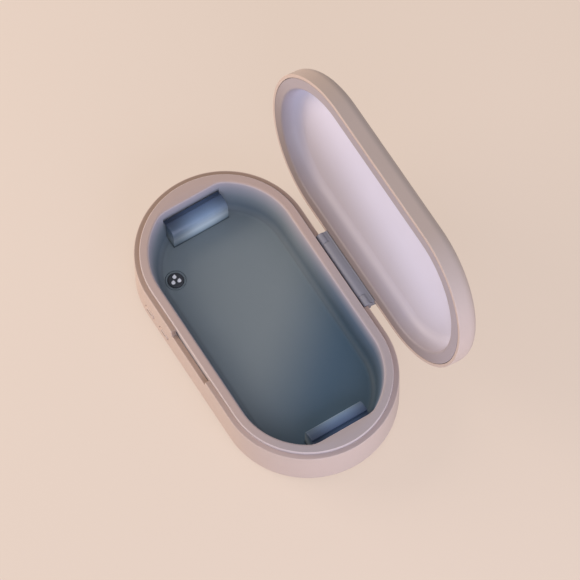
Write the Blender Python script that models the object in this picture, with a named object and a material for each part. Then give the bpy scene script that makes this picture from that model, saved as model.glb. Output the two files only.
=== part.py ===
"""UV sanitizer box for a phone: a stadium-shaped base with a deep tub, and a lid hinged open at the back.

Metres, +Z up. The origin is under the middle of the base, on the surface it stands on. +X is the box's
right seen from its front, -Y its front with the finger notch and the two buttons, +Y its hinge side.
"""

import math

import bmesh
import bpy
from mathutils import Matrix, Vector

# Driving dimensions
BODY_LENGTH = 0.212
BODY_WIDTH = 0.113
LEDGE_TOP = 0.032
DECK_RISE = 0.0025
CLOSED_HEIGHT = 0.050
LID_OPEN = math.radians(101)
GAP = 0.0003
FOOT_HEIGHT = 0.001

# Outline: two half circles joined by straight sides
END_RADIUS = BODY_WIDTH / 2
STRAIGHT = BODY_LENGTH / 2 - END_RADIUS
END_STEPS = 22
CAPSULE_STEPS = 10
ARC_STEPS = 3
MERGE = 0.00001

# Base shell
WALL = 0.0024
LEDGE_WIDTH = 0.0035
LIP_FOOT = 0.024
SHELF_DEPTH = 0.0022
SHELF_REACH = 0.0053
BASE_FILLET = 0.003
EDGE_ROUND = 0.0004
NOTCH_LENGTH = 0.040
NOTCH_DROP = 0.0055

# Bottom plate and what holds it
PLATE_THICKNESS = 0.002
PLATE_INSET = 0.0055
PLATE_FLANGE = 0.0022
FOOT_RADIUS = 0.006
FOOT_SINK = 0.0006
FOOT_PAST = 0.0205
FOOT_INSET = 0.0265
SCREW_RADIUS = 0.0012
SCREW_HEAD = 0.0024
SCREW_HEAD_HEIGHT = 0.0010
SCREW_SHIFT = 0.0095
SCREW_INSET = 0.0077
POST_RADIUS = 0.003
ROUND_STEPS = 20

# Tub
DECK_TOP = LEDGE_TOP + DECK_RISE
DECK_RADIUS = END_RADIUS - LEDGE_WIDTH - GAP
DECK_THICKNESS = 0.0030
SKIRT_WALL = 0.0014
DECK_BAND = 0.0055
END_BAND = 0.014
CAVITY_FLOOR = 0.010
CAVITY_DRAFT = 0.0055
LIP_ROUND = 0.0018
FLOOR_ROUND = 0.005
TUB_WALL = 0.0018
CAVITY_RADIUS = DECK_RADIUS - DECK_BAND
CAVITY_CHORD = BODY_LENGTH / 2 - END_BAND
FLOOR_RADIUS = CAVITY_RADIUS - CAVITY_DRAFT

# Places that follow the outline and the tub's floor
FOOT_AT = (STRAIGHT + FOOT_PAST, END_RADIUS - FOOT_INSET)
SCREW_AT = (STRAIGHT - SCREW_SHIFT, FLOOR_RADIUS - SCREW_INSET)

# Lamps: a bar with a rounded front, and a flange behind it that tucks into the tub's end wall
LAMP_WIDTH = 0.040
LAMP_INSET = 0.005
LAMP_DEPTH = 0.009
LAMP_TOP = 0.028
LAMP_ROUND = 0.004
LAMP_FLANGE = 0.0032
LAMP_STEP = 0.002
LAMP_WALL = 0.001
LAMP_SEAT = 0.0004
LAMP_CLEAR = 0.0009
LED_COUNT = 4
LED_SIZE = 0.0035
BOARD = 0.0012
LAMP_BACK = CAVITY_CHORD - LAMP_INSET
LAMP_FRONT = LAMP_BACK - LAMP_DEPTH

# Aroma port
AROMA_PAST = 0.0085
AROMA_INSET = 0.0107
AROMA_RADIUS = 0.005
AROMA_RING = 0.0065
AROMA_DEPTH = 0.0054
AROMA_CAP = 0.0012
DROP_RADIUS = 0.00095
DROP_PITCH = 0.0021
DROP_COUNT = 3
DROP_TURN = math.radians(50)
DROP_TIP = math.radians(148)
DROP_STEPS = 16
AROMA_AT = (-STRAIGHT - AROMA_PAST, AROMA_INSET - FLOOR_RADIUS)

# Lid
LID_WALL = 0.0022
LID_ROUND = 0.007
LID_BAND = 0.010
LINER_WALL = 0.0014
BOWL_ROUND = 0.008
LID_BOTTOM = DECK_TOP + GAP

# Hinge, measured on the closed lid
PIVOT_OUT = 0.0005
PIVOT_DROP = 0.0016
BARREL_RADIUS = 0.0031
ROD_RADIUS = 0.00125
ROD_FIT = 0.00015
SLOT_LENGTH = 0.057
SLOT_LIP = 0.0006
KNUCKLE = 0.0070
KNUCKLE_STEPS = 14
HINGE_FIT = 0.0004
LEAF_THICKNESS = 0.0017
LEAF_REACH = 0.0075
LEAF_SHOULDER = 0.0035
HEEL_REACH = 0.0050
HEEL_THICKNESS = 0.0022
LEAF_SCREW_INSET = (0.007, 0.0053)
LEAF_SCREW_RADIUS = 0.0008
LEAF_SCREW_HEAD = 0.0016
LEAF_SCREW_LENGTH = 0.0065
LEAF_BOSS = 0.0021
SLOT_FRONT = END_RADIUS - LEDGE_WIDTH + SLOT_LIP
LEAF_INNER = SLOT_LENGTH / 2 - LEAF_SHOULDER
LEAF_SCREW_AT = (LEAF_INNER - LEAF_SCREW_INSET[0], END_RADIUS - LEAF_SCREW_INSET[1])

# Buttons
BUTTON_SHIFT = 0.0025
BUTTON_PITCH = 0.017
BUTTON_HEIGHT = 0.012
BUTTON_SIZE = (0.010, 0.005)
BUTTON_PROUD = 0.0005
BUTTON_TRAVEL = 0.0005
BUTTON_FLANGE = 0.001
LIGHT_SIZE = (0.005, 0.0010)
SWITCH_SIZE = (0.006, 0.0028, 0.006)
BUTTON_X = (BUTTON_SHIFT - STRAIGHT, BUTTON_SHIFT + BUTTON_PITCH - STRAIGHT)

# Electronics
MAIN_BOARD_THICKNESS = 0.0014
MAIN_BOARD_PAST = 0.0005
MAIN_BOARD_SHIFT = 0.022
MAIN_BOARD_CLEAR = 0.009
SOCKET_SHIFT = 0.0075
SOCKET_HEIGHT = 0.0125
SOCKET_SIZE = (0.009, 0.0070, 0.0032)
WIRE_RADIUS = 0.0006
WIRE_HEIGHT = 0.014
WIRE_INSET = 0.0085
WIRE_POINTS = 14
WIRE_HOLE_STEPS = 12
MAGNET_SIZE = (0.008, 0.0028, 0.0024)
MAGNET_SHIFT = 0.029
MAGNET_INSET = 0.0027
SENSOR_SIZE = (0.004, 0.0016, 0.003)
SENSOR_SHIFT = 0.0115
SENSOR_AT = STRAIGHT - SENSOR_SHIFT
SOCKET_AT = STRAIGHT - SOCKET_SHIFT
MAGNET_AT = (MAGNET_SHIFT, DECK_RADIUS - MAGNET_INSET)

PIVOT = Vector((0, END_RADIUS + PIVOT_OUT, LEDGE_TOP - PIVOT_DROP))
TUB_BOTTOM = CAVITY_FLOOR - TUB_WALL
PLATE_TOP = FOOT_HEIGHT + PLATE_THICKNESS
LINER_TOP = LID_BOTTOM + LINER_WALL
LEAF_FOOT = LINER_TOP + GAP
LEAF_TOP = LEAF_FOOT + LEAF_THICKNESS

COLOURS = {
    "shell": ((0.86, 0.80, 0.78), 0.42, 0.0),
    "tub": ((0.62, 0.66, 0.72), 0.35, 0.0),
    "lamp": ((0.30, 0.42, 0.62), 0.15, 0.0),
    "hinge": ((0.56, 0.55, 0.60), 0.45, 0.0),
    "steel": ((0.62, 0.62, 0.64), 0.25, 1.0),
    "dark": ((0.05, 0.06, 0.08), 0.40, 0.0),
    "board": ((0.05, 0.20, 0.10), 0.55, 0.0),
    "rubber": ((0.07, 0.07, 0.07), 0.85, 0.0),
    "pad": ((0.92, 0.92, 0.90), 0.95, 0.0),
    "window": ((0.85, 0.90, 0.95), 0.20, 0.0),
}


def clear_scene():
    """Removes what the scene holds, so that the model starts empty."""
    for old in list(bpy.data.objects):
        bpy.data.objects.remove(old)


def collection(name):
    """A new collection under the scene's own."""
    made = bpy.data.collections.new(name)
    bpy.context.scene.collection.children.link(made)
    return made


clear_scene()
PARTS = collection("phone_sanitizer_box")
CUTTERS = collection("cutters")


def material(name, kind):
    """A Principled material of one kind of stuff, named for the sub-part that wears it."""
    colour, roughness, metallic = COLOURS[kind]
    made = bpy.data.materials.new(name)
    made.use_nodes = True
    shader = made.node_tree.nodes["Principled BSDF"]
    shader.inputs["Base Color"].default_value = (*colour, 1)
    shader.inputs["Roughness"].default_value = roughness
    shader.inputs["Metallic"].default_value = metallic
    made.diffuse_color = (*colour, 1)
    return made


def from_bmesh(bm, name):
    """A linked object that holds the finished bmesh."""
    mesh = bpy.data.meshes.new(name)
    bm.to_mesh(mesh)
    bm.free()
    made = bpy.data.objects.new(name, mesh)
    CUTTERS.objects.link(made)
    made.hide_render = True
    made.display_type = "WIRE"
    return made


def as_part(made, kind, parent=None):
    """Makes a shape one of the box's sub-parts, with its material and its smooth rounds."""
    CUTTERS.objects.unlink(made)
    PARTS.objects.link(made)
    made.hide_render = False
    made.display_type = "TEXTURED"
    made.data.materials.append(material(made.name, kind))
    made.data.shade_smooth()
    made.data.set_sharp_from_angle(angle=math.radians(30))
    if parent:
        made.parent = parent
        made.matrix_parent_inverse = Matrix.Translation(-parent.location)
    return made


def corner(before, at, after, radius):
    """Points of the arc that rounds one corner of a profile."""
    to_before = (before - at).normalized()
    to_after = (after - at).normalized()
    half = to_before.angle(to_after) / 2
    reach = radius / math.tan(half)
    centre = at + (to_before + to_after).normalized() * radius / math.sin(half)
    first = at + to_before * reach - centre
    last = at + to_after * reach - centre
    sweep = first.angle_signed(last)
    return [centre + Matrix.Rotation(-sweep * i / ARC_STEPS, 2) @ first for i in range(ARC_STEPS + 1)]


def rounded(points):
    """A profile's corners (radius, height) or (radius, height, rounding) as plain points."""
    corners = [Vector(p[:2]) for p in points]
    out = []
    for i, point in enumerate(points):
        if len(point) == 3:
            out += corner(corners[i - 1], corners[i], corners[(i + 1) % len(points)], point[2])
        else:
            out.append(corners[i])
    return out


def racetrack(name, points, straight=STRAIGHT, steps=END_STEPS):
    """A profile turned half round at each end of a straight run, which gives a stadium-shaped solid.

    The profile is spun about the end's axis, its two edges are drawn to x = 0, and a mirror makes the other
    half. A profile that meets the axis has its points on the axis first and last.
    """
    profile = rounded(points)
    bm = bmesh.new()
    verts = [bm.verts.new((straight, -r, z)) for r, z in profile]
    on_axis = min(r for r, _ in profile) < MERGE
    ring = verts if on_axis else verts + verts[:1]
    first = [bm.edges.new(pair) for pair in zip(ring, ring[1:])]
    spun = bmesh.ops.spin(
        bm, geom=verts + first, cent=(straight, 0, 0), axis=(0, 0, 1), angle=math.pi, steps=steps
    )
    last = [e for e in spun["geom_last"] if isinstance(e, bmesh.types.BMEdge)]
    for side in (first, last):
        drawn = bmesh.ops.extrude_edge_only(bm, edges=side)
        moved = [v for v in drawn["geom"] if isinstance(v, bmesh.types.BMVert)]
        bmesh.ops.translate(bm, verts=moved, vec=(-straight, 0, 0))
    bmesh.ops.remove_doubles(bm, verts=bm.verts, dist=MERGE)
    half = bm.verts[:] + bm.edges[:] + bm.faces[:]
    bmesh.ops.mirror(bm, geom=half, axis="X", merge_dist=MERGE)
    bmesh.ops.recalc_face_normals(bm, faces=bm.faces)
    return from_bmesh(bm, name)


def extruded(name, outline, depth):
    """A closed outline (x, z) or (x, z, rounding), drawn along Y to both sides of y = 0."""
    bm = bmesh.new()
    verts = [bm.verts.new((x, -depth / 2, z)) for x, z in rounded(outline)]
    face = bm.faces.new(verts)
    drawn = bmesh.ops.extrude_face_region(bm, geom=[face])
    moved = [v for v in drawn["geom"] if isinstance(v, bmesh.types.BMVert)]
    bmesh.ops.translate(bm, verts=moved, vec=(0, depth, 0))
    bmesh.ops.recalc_face_normals(bm, faces=bm.faces)
    return from_bmesh(bm, name)


def crosswise(name, outline, start, end):
    """A closed outline (y, z), drawn along X from start to end."""
    made = extruded(name, outline, end - start)
    turn = Matrix.Rotation(math.pi / 2, 4, "Z")
    made.data.transform(Matrix.Translation(((start + end) / 2, 0, 0)) @ turn)
    return made


def arc(centre, radius, start, end, steps):
    """Points (y, z) of an arc round a centre, from one angle to another."""
    angles = [start + (end - start) * i / steps for i in range(steps + 1)]
    return [(centre.y + radius * math.cos(a), centre.z + radius * math.sin(a)) for a in angles]


def box(name, low, high, bevel=0.0):
    """A box between two corners."""
    low, high = Vector(low), Vector(high)
    bm = bmesh.new()
    size = Matrix.Diagonal((*(high - low), 1))
    bmesh.ops.create_cube(bm, size=1, matrix=Matrix.Translation((low + high) / 2) @ size)
    if bevel:
        bmesh.ops.bevel(
            bm, geom=bm.edges[:], offset=bevel, segments=2, profile=0.5, affect="EDGES", clamp_overlap=True
        )
    return from_bmesh(bm, name)


def rod(name, radius, start, end, steps=ROUND_STEPS):
    """A cylinder between two points on its axis."""
    start, end = Vector(start), Vector(end)
    run = end - start
    turn = run.to_track_quat("Z", "Y").to_matrix().to_4x4()
    bm = bmesh.new()
    bmesh.ops.create_cone(
        bm,
        cap_ends=True,
        segments=steps,
        radius1=radius,
        radius2=radius,
        depth=run.length,
        matrix=Matrix.Translation((start + end) / 2) @ turn,
    )
    return from_bmesh(bm, name)


def combine(target, other, operation):
    """Adds a Boolean modifier that cuts, joins or intersects the target with another solid."""
    made = target.modifiers.new(other.name, "BOOLEAN")
    made.operation = operation
    made.object = other
    made.solver = "EXACT"
    return target


def cut(target, *others):
    for other in others:
        combine(target, other, "DIFFERENCE")


def join(target, *others):
    for other in others:
        combine(target, other, "UNION")


def four_corners(at):
    """The four mirrored places of a point, with a name for each."""
    x, y = at
    return [("front_left", -x, -y), ("front_right", x, -y), ("back_left", -x, y), ("back_right", x, y)]


def base_shell():
    """Outer wall with the ledge on top, the shelf that the tub stands on, and the hinge's outer knuckles."""
    outer, bottom = END_RADIUS, FOOT_HEIGHT
    lip = outer - LEDGE_WIDTH
    shelf = outer - SHELF_REACH
    inner = outer - WALL
    flange = outer - PLATE_INSET + GAP
    shell = racetrack(
        "base_shell",
        [
            (outer, LEDGE_TOP, EDGE_ROUND),
            (outer, bottom, BASE_FILLET),
            (flange, bottom),
            (flange, bottom + PLATE_FLANGE),
            (inner, bottom + PLATE_FLANGE),
            (inner, LIP_FOOT - 2 * SHELF_DEPTH),
            (shelf, LIP_FOOT - SHELF_DEPTH),
            (shelf, LIP_FOOT),
            (lip, LIP_FOOT),
            (lip, LEDGE_TOP),
        ],
    )
    cut(
        shell,
        box(
            "notch_cutter",
            (-NOTCH_LENGTH / 2, -outer - WALL, LEDGE_TOP - NOTCH_DROP),
            (NOTCH_LENGTH / 2, -lip + GAP, LEDGE_TOP + WALL),
        ),
    )
    clear = BARREL_RADIUS + HINGE_FIT
    half = SLOT_LENGTH / 2
    cut(
        shell,
        box("slot_cutter", (-half, SLOT_FRONT, PIVOT.z - clear), (half, outer + WALL, LEDGE_TOP + WALL)),
    )
    web = SLOT_FRONT - GAP
    web_foot = PIVOT.z - clear - GAP
    knuckle = [(web, PIVOT.z), (web, web_foot), (PIVOT.y, web_foot)]
    knuckle += arc(PIVOT, BARREL_RADIUS, -math.pi / 2, math.pi, KNUCKLE_STEPS)
    for side in (-1, 1):
        low, high = sorted((side * (half + GAP), side * (half - KNUCKLE)))
        join(shell, crosswise(f"knuckle_{side}", knuckle, low, high))
    reach = half - WALL / 2
    cut(shell, rod("rod_hole", ROD_RADIUS + ROD_FIT, (-reach, *PIVOT.yz), (reach, *PIVOT.yz)))
    for i, x in enumerate(BUTTON_X):
        cut(shell, capsule(f"button_hole_{i}", x, BUTTON_SIZE, -outer - WALL, -inner + WALL, 2 * GAP))
    cut(
        shell,
        box(
            "socket_hole",
            (SOCKET_AT - SOCKET_SIZE[0] / 2 - GAP, inner - WALL, SOCKET_HEIGHT - SOCKET_SIZE[2] / 2 - GAP),
            (SOCKET_AT + SOCKET_SIZE[0] / 2 + GAP, outer + WALL, SOCKET_HEIGHT + SOCKET_SIZE[2] / 2 + GAP),
            bevel=GAP,
        ),
    )
    return as_part(shell, "shell")


def capsule(name, x, size, start, end, grow=0.0):
    """A capsule-shaped bar along Y, centred on a button."""
    length, width = size
    radius = width / 2 + grow
    profile = [(0, -start), (radius, -start), (radius, -end), (0, -end)]
    bar = racetrack(name, profile, (length - width) / 2, CAPSULE_STEPS)
    bar.data.transform(Matrix.Translation((x, 0, BUTTON_HEIGHT)) @ Matrix.Rotation(math.pi / 2, 4, "X"))
    return bar


def bottom_plate():
    """Plate let into the shell from above, with seats for the feet and the four screw heads."""
    edge = END_RADIUS - PLATE_INSET
    top = END_RADIUS - WALL - GAP
    step = FOOT_HEIGHT + PLATE_FLANGE + GAP
    rim = edge - PLATE_THICKNESS
    plate = racetrack(
        "bottom_plate",
        [
            (0, PLATE_TOP),
            (rim, PLATE_TOP),
            (rim, step + PLATE_THICKNESS / 2),
            (top, step + PLATE_THICKNESS / 2),
            (top, step),
            (edge, step),
            (edge, FOOT_HEIGHT, EDGE_ROUND),
            (0, FOOT_HEIGHT),
        ],
    )
    for place, x, y in four_corners(FOOT_AT):
        cut(
            plate,
            rod(f"foot_seat_{place}", FOOT_RADIUS + GAP, (x, y, 0), (x, y, FOOT_HEIGHT + FOOT_SINK + GAP)),
        )
    seat = FOOT_HEIGHT + SCREW_HEAD_HEIGHT + GAP
    for place, x, y in four_corners(SCREW_AT):
        cut(
            plate,
            rod(f"head_seat_{place}", SCREW_HEAD + GAP, (x, y, 0), (x, y, seat)),
            rod(f"plate_hole_{place}", SCREW_RADIUS + GAP, (x, y, 0), (x, y, CAVITY_FLOOR)),
        )
    return as_part(plate, "shell")


def feet():
    """Four rubber feet, let into the plate."""
    for place, x, y in four_corners(FOOT_AT):
        as_part(rod(f"foot_{place}", FOOT_RADIUS, (x, y, 0), (x, y, FOOT_HEIGHT + FOOT_SINK)), "rubber")


def base_screws():
    """Four screws that pull the tub down onto the plate and clamp the shell between them."""
    for place, x, y in four_corners(SCREW_AT):
        head = FOOT_HEIGHT + SCREW_HEAD_HEIGHT
        screw = rod(f"base_screw_{place}", SCREW_HEAD, (x, y, FOOT_HEIGHT), (x, y, head))
        join(screw, rod(f"shank_{place}", SCREW_RADIUS, (x, y, head - GAP), (x, y, TUB_BOTTOM - GAP)))
        as_part(screw, "steel")


def cavity_cutter():
    """The tub's hollow: a drafted stadium with a rounded lip and floor, its two ends cut off straight."""
    over = DECK_TOP + WALL
    hollow = racetrack(
        "cavity_cutter",
        [
            (0, over),
            (CAVITY_RADIUS + LIP_ROUND, over),
            (CAVITY_RADIUS + LIP_ROUND, DECK_TOP),
            (CAVITY_RADIUS, DECK_TOP - LIP_ROUND, LIP_ROUND),
            (FLOOR_RADIUS, CAVITY_FLOOR, FLOOR_ROUND),
            (0, CAVITY_FLOOR),
        ],
    )
    end, foot = CAVITY_CHORD, CAVITY_CHORD - CAVITY_DRAFT
    sides = [
        (end + LIP_ROUND, over),
        (end + LIP_ROUND, DECK_TOP),
        (end, DECK_TOP - LIP_ROUND, LIP_ROUND),
        (foot, CAVITY_FLOOR - WALL),
    ]
    mirrored = [(-p[0], *p[1:]) for p in reversed(sides)]
    return combine(hollow, extruded("cavity_ends", sides + mirrored, BODY_WIDTH), "INTERSECT")


def deck_tub():
    """Inner tub: flat deck with a skirt, pockets for lamps and magnets, aroma cup and screw posts."""
    deck_foot = DECK_TOP - DECK_THICKNESS
    skirt = DECK_RADIUS - SKIRT_WALL
    wall_top = CAVITY_RADIUS + TUB_WALL
    wall_foot = FLOOR_RADIUS + TUB_WALL
    tub = racetrack(
        "deck_tub",
        [
            (0, DECK_TOP),
            (DECK_RADIUS, DECK_TOP, EDGE_ROUND),
            (DECK_RADIUS, LIP_FOOT + GAP),
            (skirt, LIP_FOOT + GAP),
            (skirt, deck_foot),
            (wall_top, deck_foot),
            (wall_foot, TUB_BOTTOM, FLOOR_ROUND),
            (0, TUB_BOTTOM),
        ],
    )
    for place, x, y in four_corners(SCREW_AT):
        join(tub, rod(f"post_{place}", POST_RADIUS, (x, y, PLATE_TOP + GAP), (x, y, CAVITY_FLOOR - GAP)))
    x, y = AROMA_AT
    cup_foot = CAVITY_FLOOR - AROMA_DEPTH
    join(tub, rod("aroma_cup", AROMA_RING + GAP, (x, y, cup_foot - GAP), (x, y, CAVITY_FLOOR - GAP)))
    cut(tub, cavity_cutter())
    for place, px, py in four_corners(SCREW_AT):
        cut(tub, rod(f"pilot_{place}", SCREW_RADIUS + ROD_FIT, (px, py, 0), (px, py, TUB_BOTTOM)))
    over = CAVITY_FLOOR + WALL
    ring_seat = CAVITY_FLOOR - AROMA_CAP
    cut(
        tub,
        rod("aroma_hole", AROMA_RADIUS + GAP, (x, y, cup_foot + GAP), (x, y, over)),
        rod("aroma_ring_seat", AROMA_RING + GAP, (x, y, ring_seat), (x, y, over)),
    )
    half = LAMP_WIDTH / 2 + GAP
    seat = CAVITY_FLOOR - LAMP_SEAT - GAP
    flange_foot = LAMP_TOP - LAMP_STEP - LAMP_WALL - GAP
    flange_end = LAMP_BACK + LAMP_FLANGE + LAMP_CLEAR
    for side in (-1, 1):
        low, high = sorted((side * (LAMP_FRONT - GAP), side * (LAMP_BACK + GAP)))
        cut(tub, box(f"lamp_pocket_{side}", (low, -half, seat), (high, half, LAMP_TOP + GAP)))
        low, high = sorted((side * LAMP_BACK, side * flange_end))
        flange_pocket = ((low, -half - GAP, flange_foot), (high, half + GAP, LAMP_TOP + LAMP_CLEAR))
        cut(tub, box(f"flange_pocket_{side}", *flange_pocket))
        wire_start = (side * LAMP_FRONT, 0, WIRE_HEIGHT)
        wire_end = (side * BODY_LENGTH / 2, 0, WIRE_HEIGHT)
        cut(tub, rod(f"wire_hole_{side}", 2 * WIRE_RADIUS, wire_start, wire_end, WIRE_HOLE_STEPS))
        x_at, y_at = side * MAGNET_AT[0], -MAGNET_AT[1]
        length, width, height = MAGNET_SIZE
        cut(
            tub,
            box(
                f"magnet_pocket_{side}",
                (x_at - length / 2 - GAP, y_at - width / 2 - GAP, LIP_FOOT),
                (x_at + length / 2 + GAP, y_at + width / 2 + GAP, deck_foot + height / 2),
            ),
        )
    return as_part(tub, "tub")


def lamps():
    """At each end of the tub, a clear cover over a board with a row of UV lamps.

    The cover is a hollow bar, open at its back, with a flange that reaches back into the end wall.
    """
    half = LAMP_WIDTH / 2
    bottom = CAVITY_FLOOR - LAMP_SEAT
    flange = LAMP_TOP - LAMP_STEP
    ceiling = flange - LAMP_WALL - GAP
    for side, place in ((-1, "left"), (1, "right")):
        outline = [
            (side * LAMP_FRONT, bottom),
            (side * LAMP_FRONT, LAMP_TOP, LAMP_ROUND),
            (side * LAMP_BACK, LAMP_TOP, EDGE_ROUND),
            (side * LAMP_BACK, flange),
            (side * (LAMP_BACK + LAMP_FLANGE), flange),
            (side * (LAMP_BACK + LAMP_FLANGE), flange - LAMP_WALL),
            (side * LAMP_BACK, flange - LAMP_WALL),
            (side * LAMP_BACK, bottom),
        ]
        cover = extruded(f"lamp_cover_{place}", outline, LAMP_WIDTH)
        low, high = sorted((side * (LAMP_FRONT + LAMP_WALL), side * (LAMP_BACK + LAMP_WALL)))
        cut(
            cover,
            box(
                f"cover_hollow_{place}",
                (low, -half + LAMP_WALL, bottom + LAMP_WALL),
                (high, half - LAMP_WALL, ceiling),
            ),
        )
        as_part(cover, "lamp")
        board_half = half - LAMP_WALL - GAP
        back = side * LAMP_BACK
        front = side * (LAMP_BACK - BOARD)
        board_low, board_high = sorted((front, back))
        foot, top = bottom + LAMP_WALL + GAP, ceiling - GAP
        board = box(f"uv_board_{place}", (board_low, -board_half, foot), (board_high, board_half, top))
        for i in range(LED_COUNT):
            y = LAMP_WIDTH * ((i + 0.5) / LED_COUNT - 0.5)
            z = (foot + top) / 2
            led_low, led_high = sorted((front + side * GAP, front - side * BOARD))
            lamp_low = (led_low, y - LED_SIZE / 2, z - LED_SIZE / 2)
            join(board, box(f"led_{place}_{i}", lamp_low, (led_high, y + LED_SIZE / 2, z + LED_SIZE / 2)))
        as_part(board, "board")


def drop(name, at, height):
    """A drop-shaped bar along Z: a round one whose quarter towards the tip is drawn out to a right angle.

    A side of a square tip stands off the circle by the root of 2 over cosine plus sine of the angle.
    """
    made = rod(name, DROP_RADIUS, (*at, 0), (*at, height), DROP_STEPS)
    for vertex in made.data.vertices:
        arm = vertex.co.xy - at
        off = math.remainder(math.atan2(arm.y, arm.x) - DROP_TIP, math.tau)
        if abs(off) < math.pi / 4:
            vertex.co.xy = at + arm * math.sqrt(2) / (math.cos(off) + abs(math.sin(off)))
    return made


def aroma_port():
    """Seat ring, lift-out cap with three drop-shaped holes, and the scent pad under it."""
    x, y = AROMA_AT
    ring = rod("aroma_ring", AROMA_RING, (x, y, CAVITY_FLOOR - AROMA_CAP + GAP), (x, y, CAVITY_FLOOR + GAP))
    cut(ring, rod("ring_hole", AROMA_RADIUS + GAP, (x, y, 0), (x, y, LEDGE_TOP)))
    as_part(ring, "tub")
    low = CAVITY_FLOOR - AROMA_CAP + GAP
    cap = rod("aroma_cap", AROMA_RADIUS, (x, y, low), (x, y, CAVITY_FLOOR + AROMA_CAP / 2))
    for i in range(DROP_COUNT):
        angle = DROP_TURN + math.tau * i / DROP_COUNT
        at = Vector((x, y)) + DROP_PITCH * Vector((math.cos(angle), math.sin(angle)))
        cut(cap, drop(f"drop_{i}", at, LEDGE_TOP))
    as_part(cap, "dark")
    pad_foot = CAVITY_FLOOR - AROMA_DEPTH + 2 * GAP
    as_part(rod("aroma_pad", AROMA_RADIUS - GAP, (x, y, pad_foot), (x, y, low - 2 * GAP)), "pad")


def lid_outer_shell(hinge):
    """Lid's outer bowl, drawn closed, with the slot and the two bosses for the hinge leaf at its back."""
    outer, top = END_RADIUS, CLOSED_HEIGHT
    inner = outer - LID_WALL
    shell = racetrack(
        "lid_outer_shell",
        [
            (0, top),
            (outer, top, LID_ROUND),
            (outer, LID_BOTTOM, EDGE_ROUND),
            (inner, LID_BOTTOM),
            (inner, top - LID_WALL, LID_ROUND - LID_WALL),
            (0, top - LID_WALL),
        ],
    )
    half = LEAF_INNER + GAP
    cut(shell, box("leaf_slot", (-half, inner - WALL, LINER_TOP), (half, outer + WALL, LEAF_TOP + GAP)))
    x, y = LEAF_SCREW_AT
    for side in (-1, 1):
        at = (side * x, y)
        join(shell, rod(f"leaf_boss_{side}", LEAF_BOSS, (*at, LEAF_TOP + GAP), (*at, top - LID_WALL / 2)))
        hole_top = LEAF_FOOT + LEAF_SCREW_LENGTH + GAP
        cut(shell, rod(f"leaf_pilot_{side}", LEAF_SCREW_RADIUS + ROD_FIT, (*at, LEAF_FOOT), (*at, hole_top)))
    return as_part(shell, "shell", hinge)


def lid_liner(hinge):
    """Flat band that closes on the deck, and the bowl inside the lid."""
    outer = END_RADIUS - LID_WALL - GAP
    bowl = END_RADIUS - LID_BAND
    top = CLOSED_HEIGHT - LID_WALL - GAP
    foot = LID_BOTTOM
    liner = racetrack(
        "lid_liner",
        [
            (0, top),
            (bowl - LINER_WALL, top, BOWL_ROUND),
            (bowl + LINER_WALL, LINER_TOP),
            (outer, LINER_TOP),
            (outer, foot),
            (bowl + LIP_ROUND, foot),
            (bowl, foot + LIP_ROUND, LIP_ROUND),
            (bowl - 2 * LINER_WALL, top - LINER_WALL, BOWL_ROUND - LINER_WALL),
            (0, top - LINER_WALL),
        ],
    )
    return as_part(liner, "shell", hinge)


def lid_magnets(hinge):
    """Two magnets behind the lid's front band."""
    length, width, height = MAGNET_SIZE
    foot = LINER_TOP + GAP
    for side, place in ((-1, "left"), (1, "right")):
        x, y = side * MAGNET_AT[0], -MAGNET_AT[1]
        magnet = box(
            f"lid_magnet_{place}",
            (x - length / 2, y - width / 2, foot),
            (x + length / 2, y + width / 2, foot + height),
        )
        as_part(magnet, "steel", hinge)


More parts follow.
